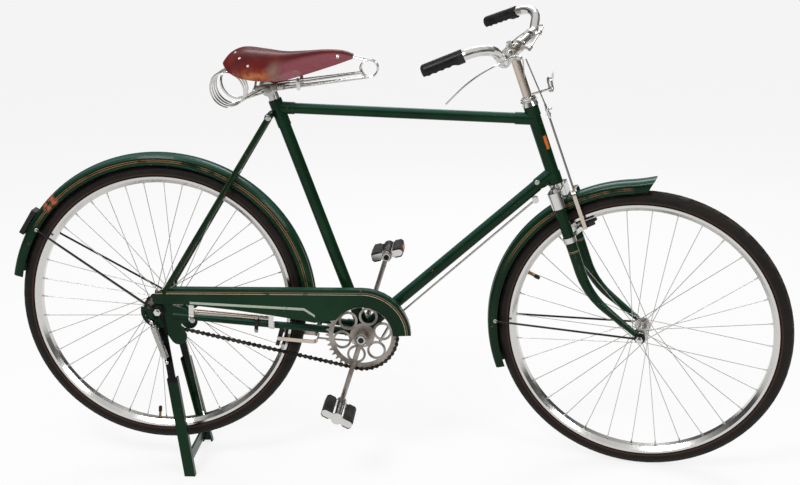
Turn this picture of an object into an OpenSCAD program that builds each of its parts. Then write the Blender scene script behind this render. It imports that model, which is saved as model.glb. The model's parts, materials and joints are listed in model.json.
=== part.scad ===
// Gents' roadster bicycle with rod brakes, parked on its rear stand.
// Millimetres. Every piece is drawn in the level bicycle frame: the rear axle's middle is the origin,
// X points forward, Y to the left and Z up. parked() then lifts the rear wheel onto the stand.

/* [Wheels] */
// Outer radius of a tyre
wheel_r = 350; // [335:1:360]
// Radius of a tyre's round section
tyre_r = 19; // [17:0.5:20]
// Distance between the axles
wheelbase = 1162; // [1130:1:1200]
// Depth of the rim's edge below the middle of the tyre's section
bead_drop = 12; // [10:0.5:13]
// Depth of a rim
rim_depth = 15; // [12:0.5:18]
// Half width of a rim at its edges
rim_half_w = 16.5; // [15:0.5:18]
// Half width of a rim's floor
rim_floor_half_w = 9; // [7:0.5:11]
// Spokes in the front wheel
front_spoke_n = 32; // [24:4:36]
// Spokes in the rear wheel
rear_spoke_n = 40; // [32:4:44]
// Radius of a spoke
spoke_r = 0.9; // [0.8:0.05:1]
// Radius of both wheel axles
axle_r = 4.75; // [4:0.25:5]
// Half length of the rear axle
rear_axle_half = 86; // [83:0.5:92]
// Half length of the front axle
front_axle_half = 70; // [66:0.5:76]

/* [Frame] */
// Bottom bracket, ahead of the rear axle
bb_x = 492; // [480:1:505]
// Bottom bracket, below the rear axle
bb_drop = 40; // [34:1:46]
// Seat tube's angle
seat_angle = 67.8; // [66:0.1:70]
// Seat tube's rise over the top tube's middle
seat_tube_rise = 20.2; // [16:0.1:30]
// Top tube's middle below the upper end of the head tube
top_tube_drop = 33.1; // [28:0.1:45]
// Head tube's angle
head_angle = 68.5; // [67:0.1:70]
// Head tube's length
head_len = 193; // [185:1:205]
// Down tube's meeting point above the lower end of the head tube
down_tube_rise = 26; // [22:1:34]
// Radius of the top tube
top_tube_r = 12.7; // [11:0.1:14]
// Radius of the down tube and the seat tube
main_tube_r = 14.3; // [13:0.1:15]
// Radius of the head tube
head_r = 15.5; // [15:0.1:17]
// Radius of a chain stay at the bottom bracket
chain_stay_r = 9.6; // [9:0.1:10]
// Radius of a seat stay
seat_stay_r = 7; // [6:0.1:7.5]
// Thickness of a lug over its tube
lug_t = 1.8; // [1.2:0.1:2.4]

/* [Fork] */
// Offset of the front axle ahead of the steering axis
fork_rake = 86; // [80:1:92]
// Radius of the bend of a fork blade
fork_bend_r = 190; // [170:1:220]
// Angle of the bend of a fork blade
fork_bend_deg = 32.5; // [28:0.5:36]
// Half distance between the fork blades
fork_half_w = 46; // [45:0.5:49]
// Radius of a fork blade at the crown
blade_r = 13.5; // [12.5:0.1:14.5]
// Radius of a fork blade along its bend
blade_mid_r = 13; // [12:0.1:13.4]
// Radius of a fork blade at its tip
blade_tip_r = 6.5; // [6:0.1:7.5]
// Height of the fork crown
crown_h = 25.8; // [22:0.2:32]
// Steering angle at rest, turned to the right
steer_rest = -13; // [-20:1:0]

/* [Mudguards] */
// Gap between a tyre and the ridge of its mudguard
guard_gap = 26; // [20:1:34]
// Half width of a mudguard
guard_half_w = 25.5; // [24:0.5:26]
// Depth of a mudguard's section
guard_depth = 27; // [20:1:30]
// Thickness of the mudguard sheet
guard_sheet = 1.4; // [1:0.1:2]
// Rear mudguard's front end, degrees above the forward direction
rear_guard_from = -2; // [-4:1:4]
// Rear mudguard's tail
rear_guard_to = 171; // [165:1:174]
// Front mudguard's front tip
front_guard_from = 88; // [84:1:96]
// Front mudguard's rear end
front_guard_to = 202; // [196:1:206]

/* [Drive] */
// Teeth of the chainring
ring_teeth = 42; // [40:2:44]
// Teeth of the rear sprocket
sprocket_teeth = 18; // [16:1:20]
// Pitch of the chain
pitch_len = 12.7; // [12.5:0.1:12.9]
// Distance of the chain from the middle plane
chain_line = 50; // [49:0.5:51]
// Length of a crank
crank_len = 170; // [165:1:175]
// Crank angle at rest, left crank above the forward direction
crank_deg = 75; // [0:1:359]
// Inner face of a crank arm
crank_in_y = 71; // [70.5:0.5:75]
// Width of a crank arm across the bicycle
crank_t = 13; // [12:0.5:15]
// Length of a pedal
pedal_len = 92; // [86:1:100]
// Half width of a pedal
pedal_half_w = 39; // [36:1:42]
// Right pedal's tilt at rest, nose down
right_pedal_deg = 25; // [0:1:359]
// Left pedal's tilt at rest, nose down
left_pedal_deg = -15; // [-180:1:180]

/* [Handlebar] */
// Rise of the handlebar over the headset, along the steering axis
stem_rise = 109.7; // [80:0.1:130]
// Radius of the handlebar tube
bar_r = 11.1; // [10.5:0.1:12]
// Radius of the handlebar's main bends
bar_bend_r = 61; // [50:1:64]
// Radius of a grip
grip_r = 15; // [14:0.5:16]
// Length of a grip
grip_len = 90; // [80:1:105]

/* [Saddle] */
// Height of the saddle clamp over the seat tube, along the pillar
pillar_rise = 29.5; // [20:0.5:60]
// Height of the saddle's top over the clamp
saddle_h = 95; // [90:1:105]
// Rear end of the saddle leather behind the clamp
saddle_back = 105; // [95:1:115]
// Length of the saddle leather
saddle_len = 298; // [285:1:310]
// Half width of the saddle leather
saddle_half_w = 104; // [95:1:112]
// Thickness of the leather
leather_t = 5; // [4:0.5:6]
// Radius of the saddle wire
saddle_wire_r = 2.75; // [2.5:0.05:3]

/* [Stand] */
// Lift of the rear wheel on the stand
stand_lift = 60; // [50:1:70]
// Distance of the feet ahead of the axle
stand_ahead = 63; // [50:1:80]
// Half distance between the feet
stand_half_w = 111; // [100:1:125]

/* [Hidden] */
$fn = 48;
// Gap between pieces that seat on each other
seat_gap = 0.3;
// Gap round a shaft that turns
shaft_gap = 0.1;
// Overrun of a cut past the face that it opens
cut = 1;
// Degrees of a whole turn
full_turn = 360;
guard_r = wheel_r + guard_gap;

// Colours
enamel = [0.06, 0.17, 0.11];
chrome = [0.75, 0.75, 0.74];
steel = [0.5, 0.47, 0.44];
black = [0.06, 0.06, 0.06];
tyre_brown = [0.13, 0.11, 0.1];
leather_red = [0.45, 0.12, 0.09];
rubber_grey = [0.2, 0.2, 0.2];

// Vectors and lines
function unit(v) = v / norm(v);
function mix(a, b, share) = a + (b - a) * share;
function polar(r, deg) = [r * cos(deg), 0, r * sin(deg)];
function side(v, s) = [v.x, v.y * s, v.z];

// Steering axis: a foot beside the front axle, and heights s along the axis from there
front_axle_at = [wheelbase, 0, 0];
steer_axis = [-cos(head_angle), 0, sin(head_angle)];
fork_ahead = [sin(head_angle), 0, cos(head_angle)];
axis_foot = front_axle_at - fork_rake * fork_ahead;
function on_axis(s) = axis_foot + s * steer_axis;
// Stack on the steering axis: crown over the mudguard, lower cup, head tube, upper cup, nuts
crown_r = 17;
cup_r = 19.5;
cup_h = 10;
crown_low = sqrt(pow(guard_r + seat_gap, 2) - pow(fork_rake - crown_r, 2));
head_low = crown_low + crown_h + seat_gap + cup_h;
head_high = head_low + head_len;
nuts_low = head_high + cup_h + seat_gap;
nuts_h = 12;
stem_s = nuts_low + nuts_h + stem_rise;

// Parked attitude: the steered front wheel leans, so the nose-down angle is closed in three steps
ride_h = wheel_r + stand_lift;
steered_axle = axis_foot + fork_rake * (cos(steer_rest) * fork_ahead + [0, sin(steer_rest), 0]);
steered_spindle = cos(steer_rest) * [0, 1, 0] - sin(steer_rest) * fork_ahead;
function wheel_low(p) =
    let (lean = steered_spindle.z * cos(p) - steered_spindle.x * sin(p))
    (wheel_r - tyre_r) * sqrt(1 - lean * lean) + tyre_r;
function nose_down(p) = asin((ride_h + steered_axle.z * cos(p) - wheel_low(p)) / steered_axle.x);
park_deg = nose_down(nose_down(nose_down(0)));

// Frame points
bb = [bb_x, 0, -bb_drop];
seat_dir = [-cos(seat_angle), 0, sin(seat_angle)];
function on_seat(t) = bb + t * seat_dir;
top_front = on_axis(head_high - top_tube_drop);
top_rear_t = (top_front.z + bb_drop) / sin(seat_angle);
top_rear = on_seat(top_rear_t);
seat_tube_len = top_rear_t + seat_tube_rise;
clamp_at = on_seat(seat_tube_len + pillar_rise);
down_front = on_axis(head_low + down_tube_rise);
lug_r = main_tube_r + lug_t;
head_lug_len = 46;
seat_lug_len = 40;
bb_lug_len = 44;
bb_shell_r = 20;
bb_shell_half = 35;

// Wheel bands
tyre_mid_r = wheel_r - tyre_r;
rim_r = tyre_mid_r - bead_drop - seat_gap;
rim_floor_r = rim_r - rim_depth;

// Stack on the rear axle, outwards: fork end, stand eye, stop plate, mudguard stay eye, nut
fork_end_t = 5;
rear_hub_half = 57;
fork_end_y = rear_hub_half + seat_gap;
stand_eye_t = 4;
stand_eye_y = fork_end_y + fork_end_t + seat_gap;
stay_eye_t = 2.4;
stop_t = 2.5;
stop_y = stand_eye_y + stand_eye_t + seat_gap;
rear_stay_y = stop_y + stop_t + seat_gap;
nut_h = 8;
nut_r = 9;
rear_nut_y = rear_stay_y + stay_eye_t + seat_gap;
// Stack on the front axle
front_hub_half = fork_half_w - seat_gap;
front_end_y = fork_half_w;
front_stay_y = front_end_y + fork_end_t + seat_gap;
front_nut_y = front_stay_y + stay_eye_t + seat_gap;

// Drive points
ring_pitch_r = pitch_len / (2 * sin(180 / ring_teeth));
sprocket_pitch_r = pitch_len / (2 * sin(180 / sprocket_teeth));
tooth_add = 3.6;
tooth_ded = 4;
tooth_t = 3;
roller_r = 3.9;
plate_h = 4.1;
plate_waist = 3.1;
plate_t = 1.6;
plate_gap = 0.8;
crank_out_y = crank_in_y + crank_t;
crank_axle_r = 8;
spindle_r = 5;
pedal_room = 5;
pedal_in_y = crank_out_y + pedal_room;

// Half of the handlebar, from its middle: ahead, sideways and up
bar_half = [[0, 0, 0], [0, 30, 0], [14, 190, 12], [5, 281, 66], [-129, 317, 6]];
// Footprint centre, so that the origin lies on the floor under the middle of the part
box_back = 2;
box_right = 1.5;
origin_x = (wheelbase - guard_gap) / 2 - box_back;
origin_y = sin(steer_rest) * (bar_half[4] * fork_ahead) - box_right;

// Placing
module parked() {
    translate([-origin_x, -origin_y, ride_h]) rotate([0, park_deg, 0]) children();
}
module upright_at_axle() {
    translate([-origin_x, -origin_y, ride_h]) children();
}
module steered() {
    parked() translate(axis_foot) rotate(a = steer_rest, v = steer_axis) translate(-axis_foot) children();
}
module head_frame(s) {
    translate(on_axis(s)) rotate([0, head_angle - 90, 0]) children();
}
module at_front_axle() {
    translate(front_axle_at) children();
}
module both_sides() {
    children();
    mirror([0, 1, 0]) children();
}

// Shapes
module rod(p, q, r0, r1) {
    v = q - p;
    translate(p) rotate([0, acos(v.z / norm(v)), atan2(v.y, v.x)]) cylinder(h = norm(v), r1 = r0, r2 = r1);
}
module pole(p, q, r) {
    rod(p, q, r, r);
}
module across(x, z, y0, y1, r) {
    translate([x, y0, z]) rotate([-90, 0, 0]) cylinder(h = y1 - y0, r = r);
}
module nut(x, z, y0, y1, r) {
    translate([x, y0, z]) rotate([-90, 0, 0]) cylinder(h = y1 - y0, r = r, $fn = 6);
}
module plate_xz(y0, t) {
    translate([0, y0 + t, 0]) rotate([90, 0, 0]) linear_extrude(t) children();
}
// A strip with round ends between two points of a plane
module strip(p, q, r) {
    translate(p) circle(r);
    translate(q) circle(r);
    translate(p) rotate(atan2(q.y - p.y, q.x - p.x)) translate([0, -r]) square([norm(q - p), 2 * r]);
}
// Path through points, with its corners rounded to one radius
function bend_deg(a, b, c) = acos(unit(b - a) * unit(c - b));
function corner_pts(a, b, c, bend, steps) =
    let (d0 = unit(b - a), d1 = unit(c - b), deg = bend_deg(a, b, c),
         inward = unit(d1 - d0 * (d0 * d1)),
         mid = b - d0 * bend * tan(deg / 2) + bend * inward)
    [for (k = [0 : steps]) mid + bend * (sin(deg * k / steps) * d0 - cos(deg * k / steps) * inward)];
function bent_path(pts, bend, steps) =
    concat([pts[0]],
        [for (i = [1 : len(pts) - 2]) each corner_pts(pts[i - 1], pts[i], pts[i + 1], bend, steps)],
        [pts[len(pts) - 1]]);
// A round bar swept along a path, with a radius for each point
function tangent(pts, i) = unit(pts[min(i + 1, len(pts) - 1)] - pts[max(i - 1, 0)]);
function square_to(n, t) = unit(n - t * (n * t));
function normals(pts) =
    [for (i = 0, n = square_to([0.1, 1, 0.2], tangent(pts, 0)); i < len(pts);
          i = i + 1, n = square_to(n, tangent(pts, min(i, len(pts) - 1)))) n];
module sweep(pts, radii, sides) {
    count = len(pts);
    across_n = normals(pts);
    verts = [for (i = [0 : count - 1], k = [0 : sides - 1])
        let (n = across_n[i], b = cross(tangent(pts, i), n))
        pts[i] + radii[i] * (cos(360 * k / sides) * n + sin(360 * k / sides) * b)];
    walls = [for (i = [0 : count - 2], k = [0 : sides - 1])
        let (a = i * sides + k, b = i * sides + (k + 1) % sides)
        each [[a, a + sides, b], [b, a + sides, b + sides]]];
    start = [for (k = [0 : sides - 1]) k];
    end = [for (k = [sides - 1 : -1 : 0]) (count - 1) * sides + k];
    polyhedron(verts, concat(walls, [start], [end]));
}
module bar(pts, r, sides) {
    sweep(pts, [for (p = pts) r], sides);
}
wire_sides = 8;
bar_sides = 16;
bend_steps = 6;

// Frame
module head_tube() {
    bore_r = steerer_r + steerer_room;
    color(enamel) parked() difference() {
        union() {
            pole(on_axis(head_low), on_axis(head_high), head_r);
            pole(on_axis(head_low), on_axis(head_low + head_band), head_r + lug_t);
            pole(on_axis(head_high - head_band), on_axis(head_high), head_r + lug_t);
            pole(top_front, top_front + head_lug_len * unit(top_rear - top_front), top_tube_r + lug_t);
            pole(down_front, down_front + head_lug_len * unit(bb - down_front), lug_r);
        }
        pole(on_axis(head_low - cut), on_axis(head_high + cut), bore_r);
        pole(on_axis(head_low - head_lug_len), on_axis(head_low), head_lug_len);
        pole(on_axis(head_high), on_axis(head_high + head_lug_len), head_lug_len);
    }
}
head_band = 26;
steerer_r = 12;
steerer_room = 1.2;

module top_tube() {
    d = unit(top_front - top_rear);
    color(enamel) parked() pole(top_rear + seat_lug_len * d, top_front - head_lug_len * d, top_tube_r);
}
module down_tube() {
    d = unit(down_front - bb);
    color(enamel) parked() pole(bb + bb_lug_len * d, down_front - head_lug_len * d, main_tube_r);
}
cluster_r = 9;
cluster_half = 15;
cluster_drop = 30;
cluster_back = [-22, 0, -12];
cluster_at = on_seat(seat_tube_len - cluster_drop) + cluster_back;
module seat_tube() {
    color(enamel) parked() {
        pole(on_seat(bb_lug_len), on_seat(seat_tube_len), main_tube_r);
        pole(on_seat(seat_tube_len - seat_lug_band), on_seat(seat_tube_len), lug_r);
        pole(top_rear, top_rear + seat_lug_len * unit(top_front - top_rear), top_tube_r + lug_t);
        across(cluster_at.x, cluster_at.z, -cluster_half, cluster_half, cluster_r);
    }
}
seat_lug_band = 66;
module bottom_bracket_shell() {
    color(enamel) parked() difference() {
        union() {
            across(bb.x, bb.z, -bb_shell_half, bb_shell_half, bb_shell_r);
            pole(bb, on_seat(bb_lug_len), lug_r);
            pole(bb, bb + bb_lug_len * unit(down_front - bb), lug_r);
            for (s = [-1, 1])
                pole(side(stay_front, s), mix(side(stay_front, s), side(stay_rear, s), stay_socket_share), chain_stay_r + lug_t);
        }
        across(bb.x, bb.z, -bb_shell_half - chain_stay_r, bb_shell_half + chain_stay_r, crank_axle_r + shaft_gap);
    }
}
// Chain stays with the fork ends that hold the axle
stay_inset = [-8, 27, 0];
stay_front = bb + stay_inset;
stay_rear = [34, 62, -11];
stay_socket_share = 0.08;
chain_stay_tip_r = 7;
fork_end_r = 20;
fork_end_low = [48, -64];
fork_end_up = [11, 34];
module fork_end_plate() {
    difference() {
        union() {
            circle(fork_end_r);
            strip([0, 0], [stay_rear.x + fork_end_r, stay_rear.z], fork_end_r);
            strip([0, 0], fork_end_up, chain_stay_tip_r);
            strip([fork_end_r / 2, -fork_end_r / 2], fork_end_low, fork_end_r);
        }
        circle(axle_r + seat_gap);
    }
}
bridge_r = 6;
chain_bridge_at = polar(guard_r + seat_gap + bridge_r, -6);
module chain_stays() {
    color(enamel) parked() {
        both_sides() {
            rod(mix(stay_front, stay_rear, stay_socket_share), stay_rear, chain_stay_r, chain_stay_tip_r);
            plate_xz(fork_end_y, fork_end_t) fork_end_plate();
        }
        across(chain_bridge_at.x, chain_bridge_at.z, -bridge_half, bridge_half, bridge_r);
    }
}
bridge_half = 34;

// Seat stays, bolted to the seat lug
stay_top = [cluster_at.x, cluster_half + seat_gap + seat_stay_r, cluster_at.z];
stay_low = [12, 60, 43];
function at_radius(p, q, r) =
    let (d = q - p, a = d.x * d.x + d.z * d.z, b = 2 * (p.x * d.x + p.z * d.z), c = p.x * p.x + p.z * p.z - r * r)
    mix(p, q, (-b - sqrt(b * b - 4 * a * c)) / (2 * a));
seat_bridge_at = at_radius(stay_top, stay_low, guard_r + seat_gap + bridge_r);
module seat_stays() {
    color(enamel) parked() {
        both_sides() {
            pole(stay_top, stay_low, seat_stay_r);
            across(stay_top.x, stay_top.z, cluster_half + seat_gap, cluster_half + seat_gap + 2 * seat_stay_r, cluster_r);
        }
        across(seat_bridge_at.x, seat_bridge_at.z, -seat_bridge_at.y, seat_bridge_at.y, bridge_r);
    }
}

// Headset
module headset_cups() {
    color(chrome) parked() difference() {
        union() {
            rod(on_axis(head_low - cup_h), on_axis(head_low), cup_r - lug_t, cup_r);
            rod(on_axis(head_high), on_axis(head_high + cup_h), cup_r, cup_r - lug_t);
        }
        pole(on_axis(head_low - cup_h - cut), on_axis(head_high + cup_h + cut), steerer_r + steerer_room);
    }
}
module headset_nuts() {
    color(chrome) steered() difference() {
        union() {
            rod(on_axis(nuts_low), on_axis(nuts_low + nuts_h / 2), cup_r, cup_r - lug_t / 2);
            head_frame(nuts_low + nuts_h / 2) cylinder(h = nuts_h / 2, r = cup_r - lug_t, $fn = 6);
        }
        pole(on_axis(nuts_low - cut), on_axis(nuts_low + nuts_h + cut), steerer_r + seat_gap);
    }
}

// Seat pillar and the clamp that holds the saddle wires
pillar_r = 12.5;
clamp_r = 15;
clamp_half = 20;
ear_r = 17;
ear_t = 9;
rail_half = 25;
rail_rear_off = [-85, 50, -38];
rail_nose_off = [229, 9, 36];
rail_rear = clamp_at + rail_rear_off;
rail_clamp = clamp_at + [0, rail_half, 0];
rail_nose = clamp_at + rail_nose_off;
rail_share = 0.5;
module seat_pillar() {
    color(chrome) parked() difference() {
        union() {
            pole(on_seat(seat_tube_len), clamp_at, pillar_r);
            across(clamp_at.x, clamp_at.z, -clamp_half, clamp_half, clamp_r);
            both_sides() across(clamp_at.x, clamp_at.z, clamp_half, clamp_half + ear_t, ear_r);
        }
        both_sides() wire_cut();
    }
}
module wire_cut() {
    for (end = [rail_rear, rail_nose])
        pole(rail_clamp - saddle_wire_r * unit(end - rail_clamp), mix(rail_clamp, end, rail_share), saddle_wire_r + seat_gap);
}

// Saddle wires: a rear coil, a rail and a nose coil on each side
rear_coil_r = 42;
rear_coil_off = [-85, 58, 4];
rear_coil_at = clamp_at + rear_coil_off;
rear_coil_turns = 3.5;
nose_coil_r = 20;
nose_coil_off = [231, 9, 55];
nose_coil_at = clamp_at + nose_coil_off;
nose_coil_turns = 1.5;
coil_pitch = 6.8;
rear_rail_share = 0.6;
cantle_off = [-49, 63, 66.9];
nose_off = [185, 4, 79.5];
cantle_tip = clamp_at + cantle_off;
nose_tip = clamp_at + nose_off;
coil_steps = 22;
function coil(mid, r, from, turns, pitch_y, way) =
    [for (i = [0 : ceil(turns * coil_steps)])
        let (u = i / coil_steps)
        mid + [r * cos(from + way * 360 * u), pitch_y * u, r * sin(from + way * 360 * u)]];
module saddle_frame() {
    path = concat(
        [cantle_tip],
        coil(rear_coil_at + [0, coil_pitch * rear_coil_turns / 2, 0], rear_coil_r, -90 - full_turn * rear_coil_turns,
            rear_coil_turns, -coil_pitch, 1),
        [mix(rail_rear, rail_clamp, rear_rail_share), rail_clamp, mix(rail_clamp, rail_nose, rail_share)],
        coil(nose_coil_at, nose_coil_r, -90, nose_coil_turns, -coil_pitch / 2, 1),
        [nose_tip]);
    color(chrome) parked() both_sides() bar(path, saddle_wire_r, wire_sides);
}

// Saddle leather: sections of share of length, half width, top height and skirt depth
leather_shares = [
    // along, half width, crown below the top, skirt below the crown
    [0, 0.72, 0.38, 0.12],
    [0.05, 0.92, 0.16, 0.4],
    [0.14, 1, 0.045, 0.6],
    [0.3, 0.93, 0.07, 0.66],
    [0.47, 0.68, 0.109, 0.64],
    [0.64, 0.42, 0.06, 0.55],
    [0.8, 0.28, 0.008, 0.43],
    [0.93, 0.22, 0.02, 0.26],
    [1, 0.15, 0.09, 0.1]];
skirt_depth = 92;
leather_cols = 12;
function leather_pt(row, k, inset) =
    let (a = 180 * k / leather_cols,
         half_w = row[1] * saddle_half_w - inset,
         crown = clamp_at.z + saddle_h - row[2] * skirt_depth - inset,
         depth = row[3] * skirt_depth,
         roll = 1 - pow(abs(cos(a)), leather_roll_share))
    [clamp_at.x - saddle_back + row[0] * saddle_len, -half_w * sign(cos(a)) * pow(abs(cos(a)), leather_flat_share),
        crown - depth * (1 - roll)];
leather_roll_share = 2.6;
leather_flat_share = 0.75;
module saddle_leather() {
    rows = len(leather_shares);
    ring = leather_cols + 1;
    outer = [for (i = [0 : rows - 1], k = [0 : leather_cols]) leather_pt(leather_shares[i], k, 0)];
    inner = [for (i = [0 : rows - 1], k = [0 : leather_cols]) leather_pt(leather_shares[i], k, leather_t)];
    base = rows * ring;
    skin = [for (i = [0 : rows - 2], k = [0 : leather_cols - 1])
        let (a = i * ring + k, b = a + 1, c = a + ring, d = c + 1)
        each [[a, b, c], [b, d, c], [base + a, base + c, base + b], [base + b, base + c, base + d]]];
    hems = [for (i = [0 : rows - 2], k = [0, leather_cols])
        let (a = i * ring + k, c = a + ring)
        each k == 0 ? [[a, c, base + a], [c, base + c, base + a]] : [[a, base + a, c], [c, base + a, base + c]]];
    ends = [for (i = [0, rows - 1], k = [0 : leather_cols - 1])
        let (a = i * ring + k, b = a + 1)
        each i == 0 ? [[a, base + a, b], [b, base + a, base + b]] : [[a, b, base + a], [b, base + b, base + a]]];
    color(leather_red) parked() polyhedron(concat(outer, inner), concat(skin, hems, ends));
}

// Mudguards
// Half section from the ridge outwards: shares of the half width and of the depth
guard_section_shares = [[0.1, 0], [0.2, 0.07], [0.56, 0.1], [0.8, 0.2], [0.94, 0.4], [1, 0.66], [1, 1]];
function guard_side(half_w, top, depth, s) = [for (p = guard_section_shares) [top - p[1] * depth, s * p[0] * half_w]];
function backwards(list) = [for (i = [len(list) - 1 : -1 : 0]) list[i]];
guard_edge_r = guard_r - guard_depth;
module mudguard(from, to) {
    in_w = guard_half_w - guard_sheet;
    in_r = guard_r - guard_sheet;
    in_depth = guard_depth - guard_sheet;
    rotate([90, 0, 0]) rotate(from) rotate_extrude(angle = to - from)
        polygon(concat(
            backwards(guard_side(guard_half_w, guard_r, guard_depth, -1)), guard_side(guard_half_w, guard_r, guard_depth, 1),
            backwards(guard_side(in_w, in_r, in_depth, 1)), guard_side(in_w, in_r, in_depth, -1)));
}
module rear_mudguard() {
    color(enamel) parked() mudguard(rear_guard_from, rear_guard_to);
}
module front_mudguard() {
    color(enamel) steered() at_front_axle() mudguard(front_guard_from, front_guard_to);
}
stay_wire_r = 2.5;
stay_foot_r = 12;
rear_stay_deg = 150;
front_stay_deg = 182;
module mudguard_stay(deg, y) {
    tip = polar(guard_edge_r + stay_wire_r, deg);
    both_sides() {
        pole([0, y + stay_wire_r, 0] + polar(stay_foot_r - stay_wire_r / 2, deg),
            [tip.x, guard_half_w + seat_gap + stay_wire_r, tip.z], stay_wire_r);
        difference() {
            across(0, 0, y, y + stay_eye_t, stay_foot_r);
            across(0, 0, y - cut, y + stay_eye_t + cut, axle_r + seat_gap);
        }
    }
}
module rear_mudguard_stays() {
    color(black) parked() mudguard_stay(rear_stay_deg, rear_stay_y);
}
module front_mudguard_stays() {
    color(black) steered() at_front_axle() mudguard_stay(front_stay_deg, front_stay_y);
}
reflector_deg = 150;
reflector_len = 66;
reflector_half_w = 17;
reflector_depth = 11;
reflector_proud_share = 1.5;
module rear_reflector() {
    color(black) parked() rotate([0, -reflector_deg, 0])
        difference() {
            translate([guard_r - reflector_depth / 2, -reflector_half_w, -reflector_len / 2])
                cube([reflector_depth * reflector_proud_share, 2 * reflector_half_w, reflector_len]);
            rotate([90, 0, 0]) translate([0, 0, -reflector_half_w - cut])
                cylinder(h = 2 * (reflector_half_w + cut), r = guard_r + seat_gap, $fn = 480);
        }
}

// Chain guard: a face plate with a turned-in top edge, cut away round the chainring's middle
guard_face_y = 63.5;
guard_face_t = 1.2;
guard_lip = 20;
guard_nose_r = 118;
guard_cut_r = 75;
guard_tail = [34, 57];
guard_tail_low = [48, 20];
guard_mid_low = [238, 8];
guard_neck_low = [378, -10];
nose_steps = 10;
nose_end_deg = 5;
nose_top_deg = 92;
neck_deg = 148;
bead_half_w = 3;
bead_pts = [[76, 24], [352, 23], [378, 7]];
function ring_pt(r, deg) = [bb.x + r * cos(deg), bb.z + r * sin(deg)];
guard_top_pts = concat([guard_tail],
    [for (i = [0 : nose_steps]) ring_pt(guard_nose_r, mix(nose_top_deg, nose_end_deg, i / nose_steps))]);
module guard_outline() {
    polygon(concat(guard_top_pts,
        [for (i = [0 : nose_steps]) ring_pt(guard_cut_r, nose_end_deg + (neck_deg - nose_end_deg) * i / nose_steps)],
        [guard_neck_low, guard_mid_low, guard_tail_low]));
}
module guard_lip_outline() {
    last = len(guard_top_pts) - 1;
    inner = concat([guard_tail - [0, guard_face_t]],
        [for (i = [0 : nose_steps])
            ring_pt(guard_nose_r - guard_face_t, mix(nose_top_deg, nose_end_deg, i / nose_steps))]);
    polygon(concat(guard_top_pts, [for (i = [last : -1 : 0]) inner[i]]));
}
module chain_guard() {
    color(enamel) parked() {
        plate_xz(-guard_face_y - guard_face_t, guard_face_t) guard_outline();
        plate_xz(-guard_face_y, guard_lip) guard_lip_outline();
        plate_xz(-guard_face_y - 2 * guard_face_t, guard_face_t + guard_face_t / 2) polygon(concat(
            [for (p = bead_pts) p + [0, bead_half_w]], backwards([for (p = bead_pts) p - [0, bead_half_w]])));
    }
}
// Clips that hold the chain guard to the right chain stay
clip_shares = [0.47, 0.9];
clip_half = 6;
clip_t = 2;
clip_tongue = 24;
module guard_clips() {
    color(chrome) parked() for (share = clip_shares) {
        at = side(mix(stay_front, stay_rear, share), -1);
        d = unit(side(stay_rear - stay_front, -1));
        r = mix(chain_stay_r, chain_stay_tip_r, share) + seat_gap;
        difference() {
            union() {
                pole(at - clip_half * d, at + clip_half * d, r + clip_t);
                translate([at.x - clip_half, -guard_face_y + seat_gap, at.z])
                    cube([2 * clip_half, guard_face_y - seat_gap + at.y, clip_t]);
                translate([at.x - clip_half, -guard_face_y + seat_gap, at.z])
                    cube([2 * clip_half, clip_t, guard_mid_low.y - at.z + clip_tongue]);
            }
            pole(at - 2 * clip_tongue * d, at + 2 * clip_tongue * d, r);
        }
    }
}

// Chain: two rows of link plates along the pitch line, with rollers along the free runs
chain_span = norm(bb);
chain_tilt = atan2(bb.z, bb.x);
wrap_deg = asin((ring_pitch_r - sprocket_pitch_r) / chain_span);
run_len = sqrt(pow(chain_span, 2) - pow(ring_pitch_r - sprocket_pitch_r, 2));
ring_arc = (180 + 2 * wrap_deg) * PI / 180 * ring_pitch_r;
sprocket_arc = (180 - 2 * wrap_deg) * PI / 180 * sprocket_pitch_r;
chain_len = 2 * run_len + ring_arc + sprocket_arc;
link_n = 2 * round(chain_len / pitch_len / 2);
up_deg = chain_tilt + 90 + wrap_deg;
low_deg = chain_tilt - 90 - wrap_deg;
ring_mid = [bb.x, bb.z];
function turn2(r, deg) = [r * cos(deg), r * sin(deg)];
// Point on the loop at a distance from the ring's upper tangent, off the pitch line by h outwards
function chain_pt(s, h) =
    s < ring_arc ? ring_mid + turn2(ring_pitch_r + h, up_deg - s / ring_pitch_r * 180 / PI)
    : s < ring_arc + run_len ? mix(ring_mid + turn2(ring_pitch_r + h, low_deg), turn2(sprocket_pitch_r + h, low_deg),
        (s - ring_arc) / run_len)
    : s < ring_arc + run_len + sprocket_arc
        ? turn2(sprocket_pitch_r + h, low_deg - (s - ring_arc - run_len) / sprocket_pitch_r * 180 / PI)
    : mix(turn2(sprocket_pitch_r + h, up_deg), ring_mid + turn2(ring_pitch_r + h, up_deg),
        (s - ring_arc - run_len - sprocket_arc) / run_len);
module chain_loop() {
    stations = [for (i = [0 : 2 * link_n - 1]) [chain_len * i / (2 * link_n), i % 2 == 0 ? plate_h : plate_waist]];
    difference() {
        polygon([for (p = stations) chain_pt(p[0], p[1])]);
        polygon([for (p = stations) chain_pt(p[0], -p[1])]);
    }
}
function roller_clear(pitch_r) = sqrt(pow(pitch_r + tooth_add + roller_r + plate_gap, 2) - pow(pitch_r, 2));
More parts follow.
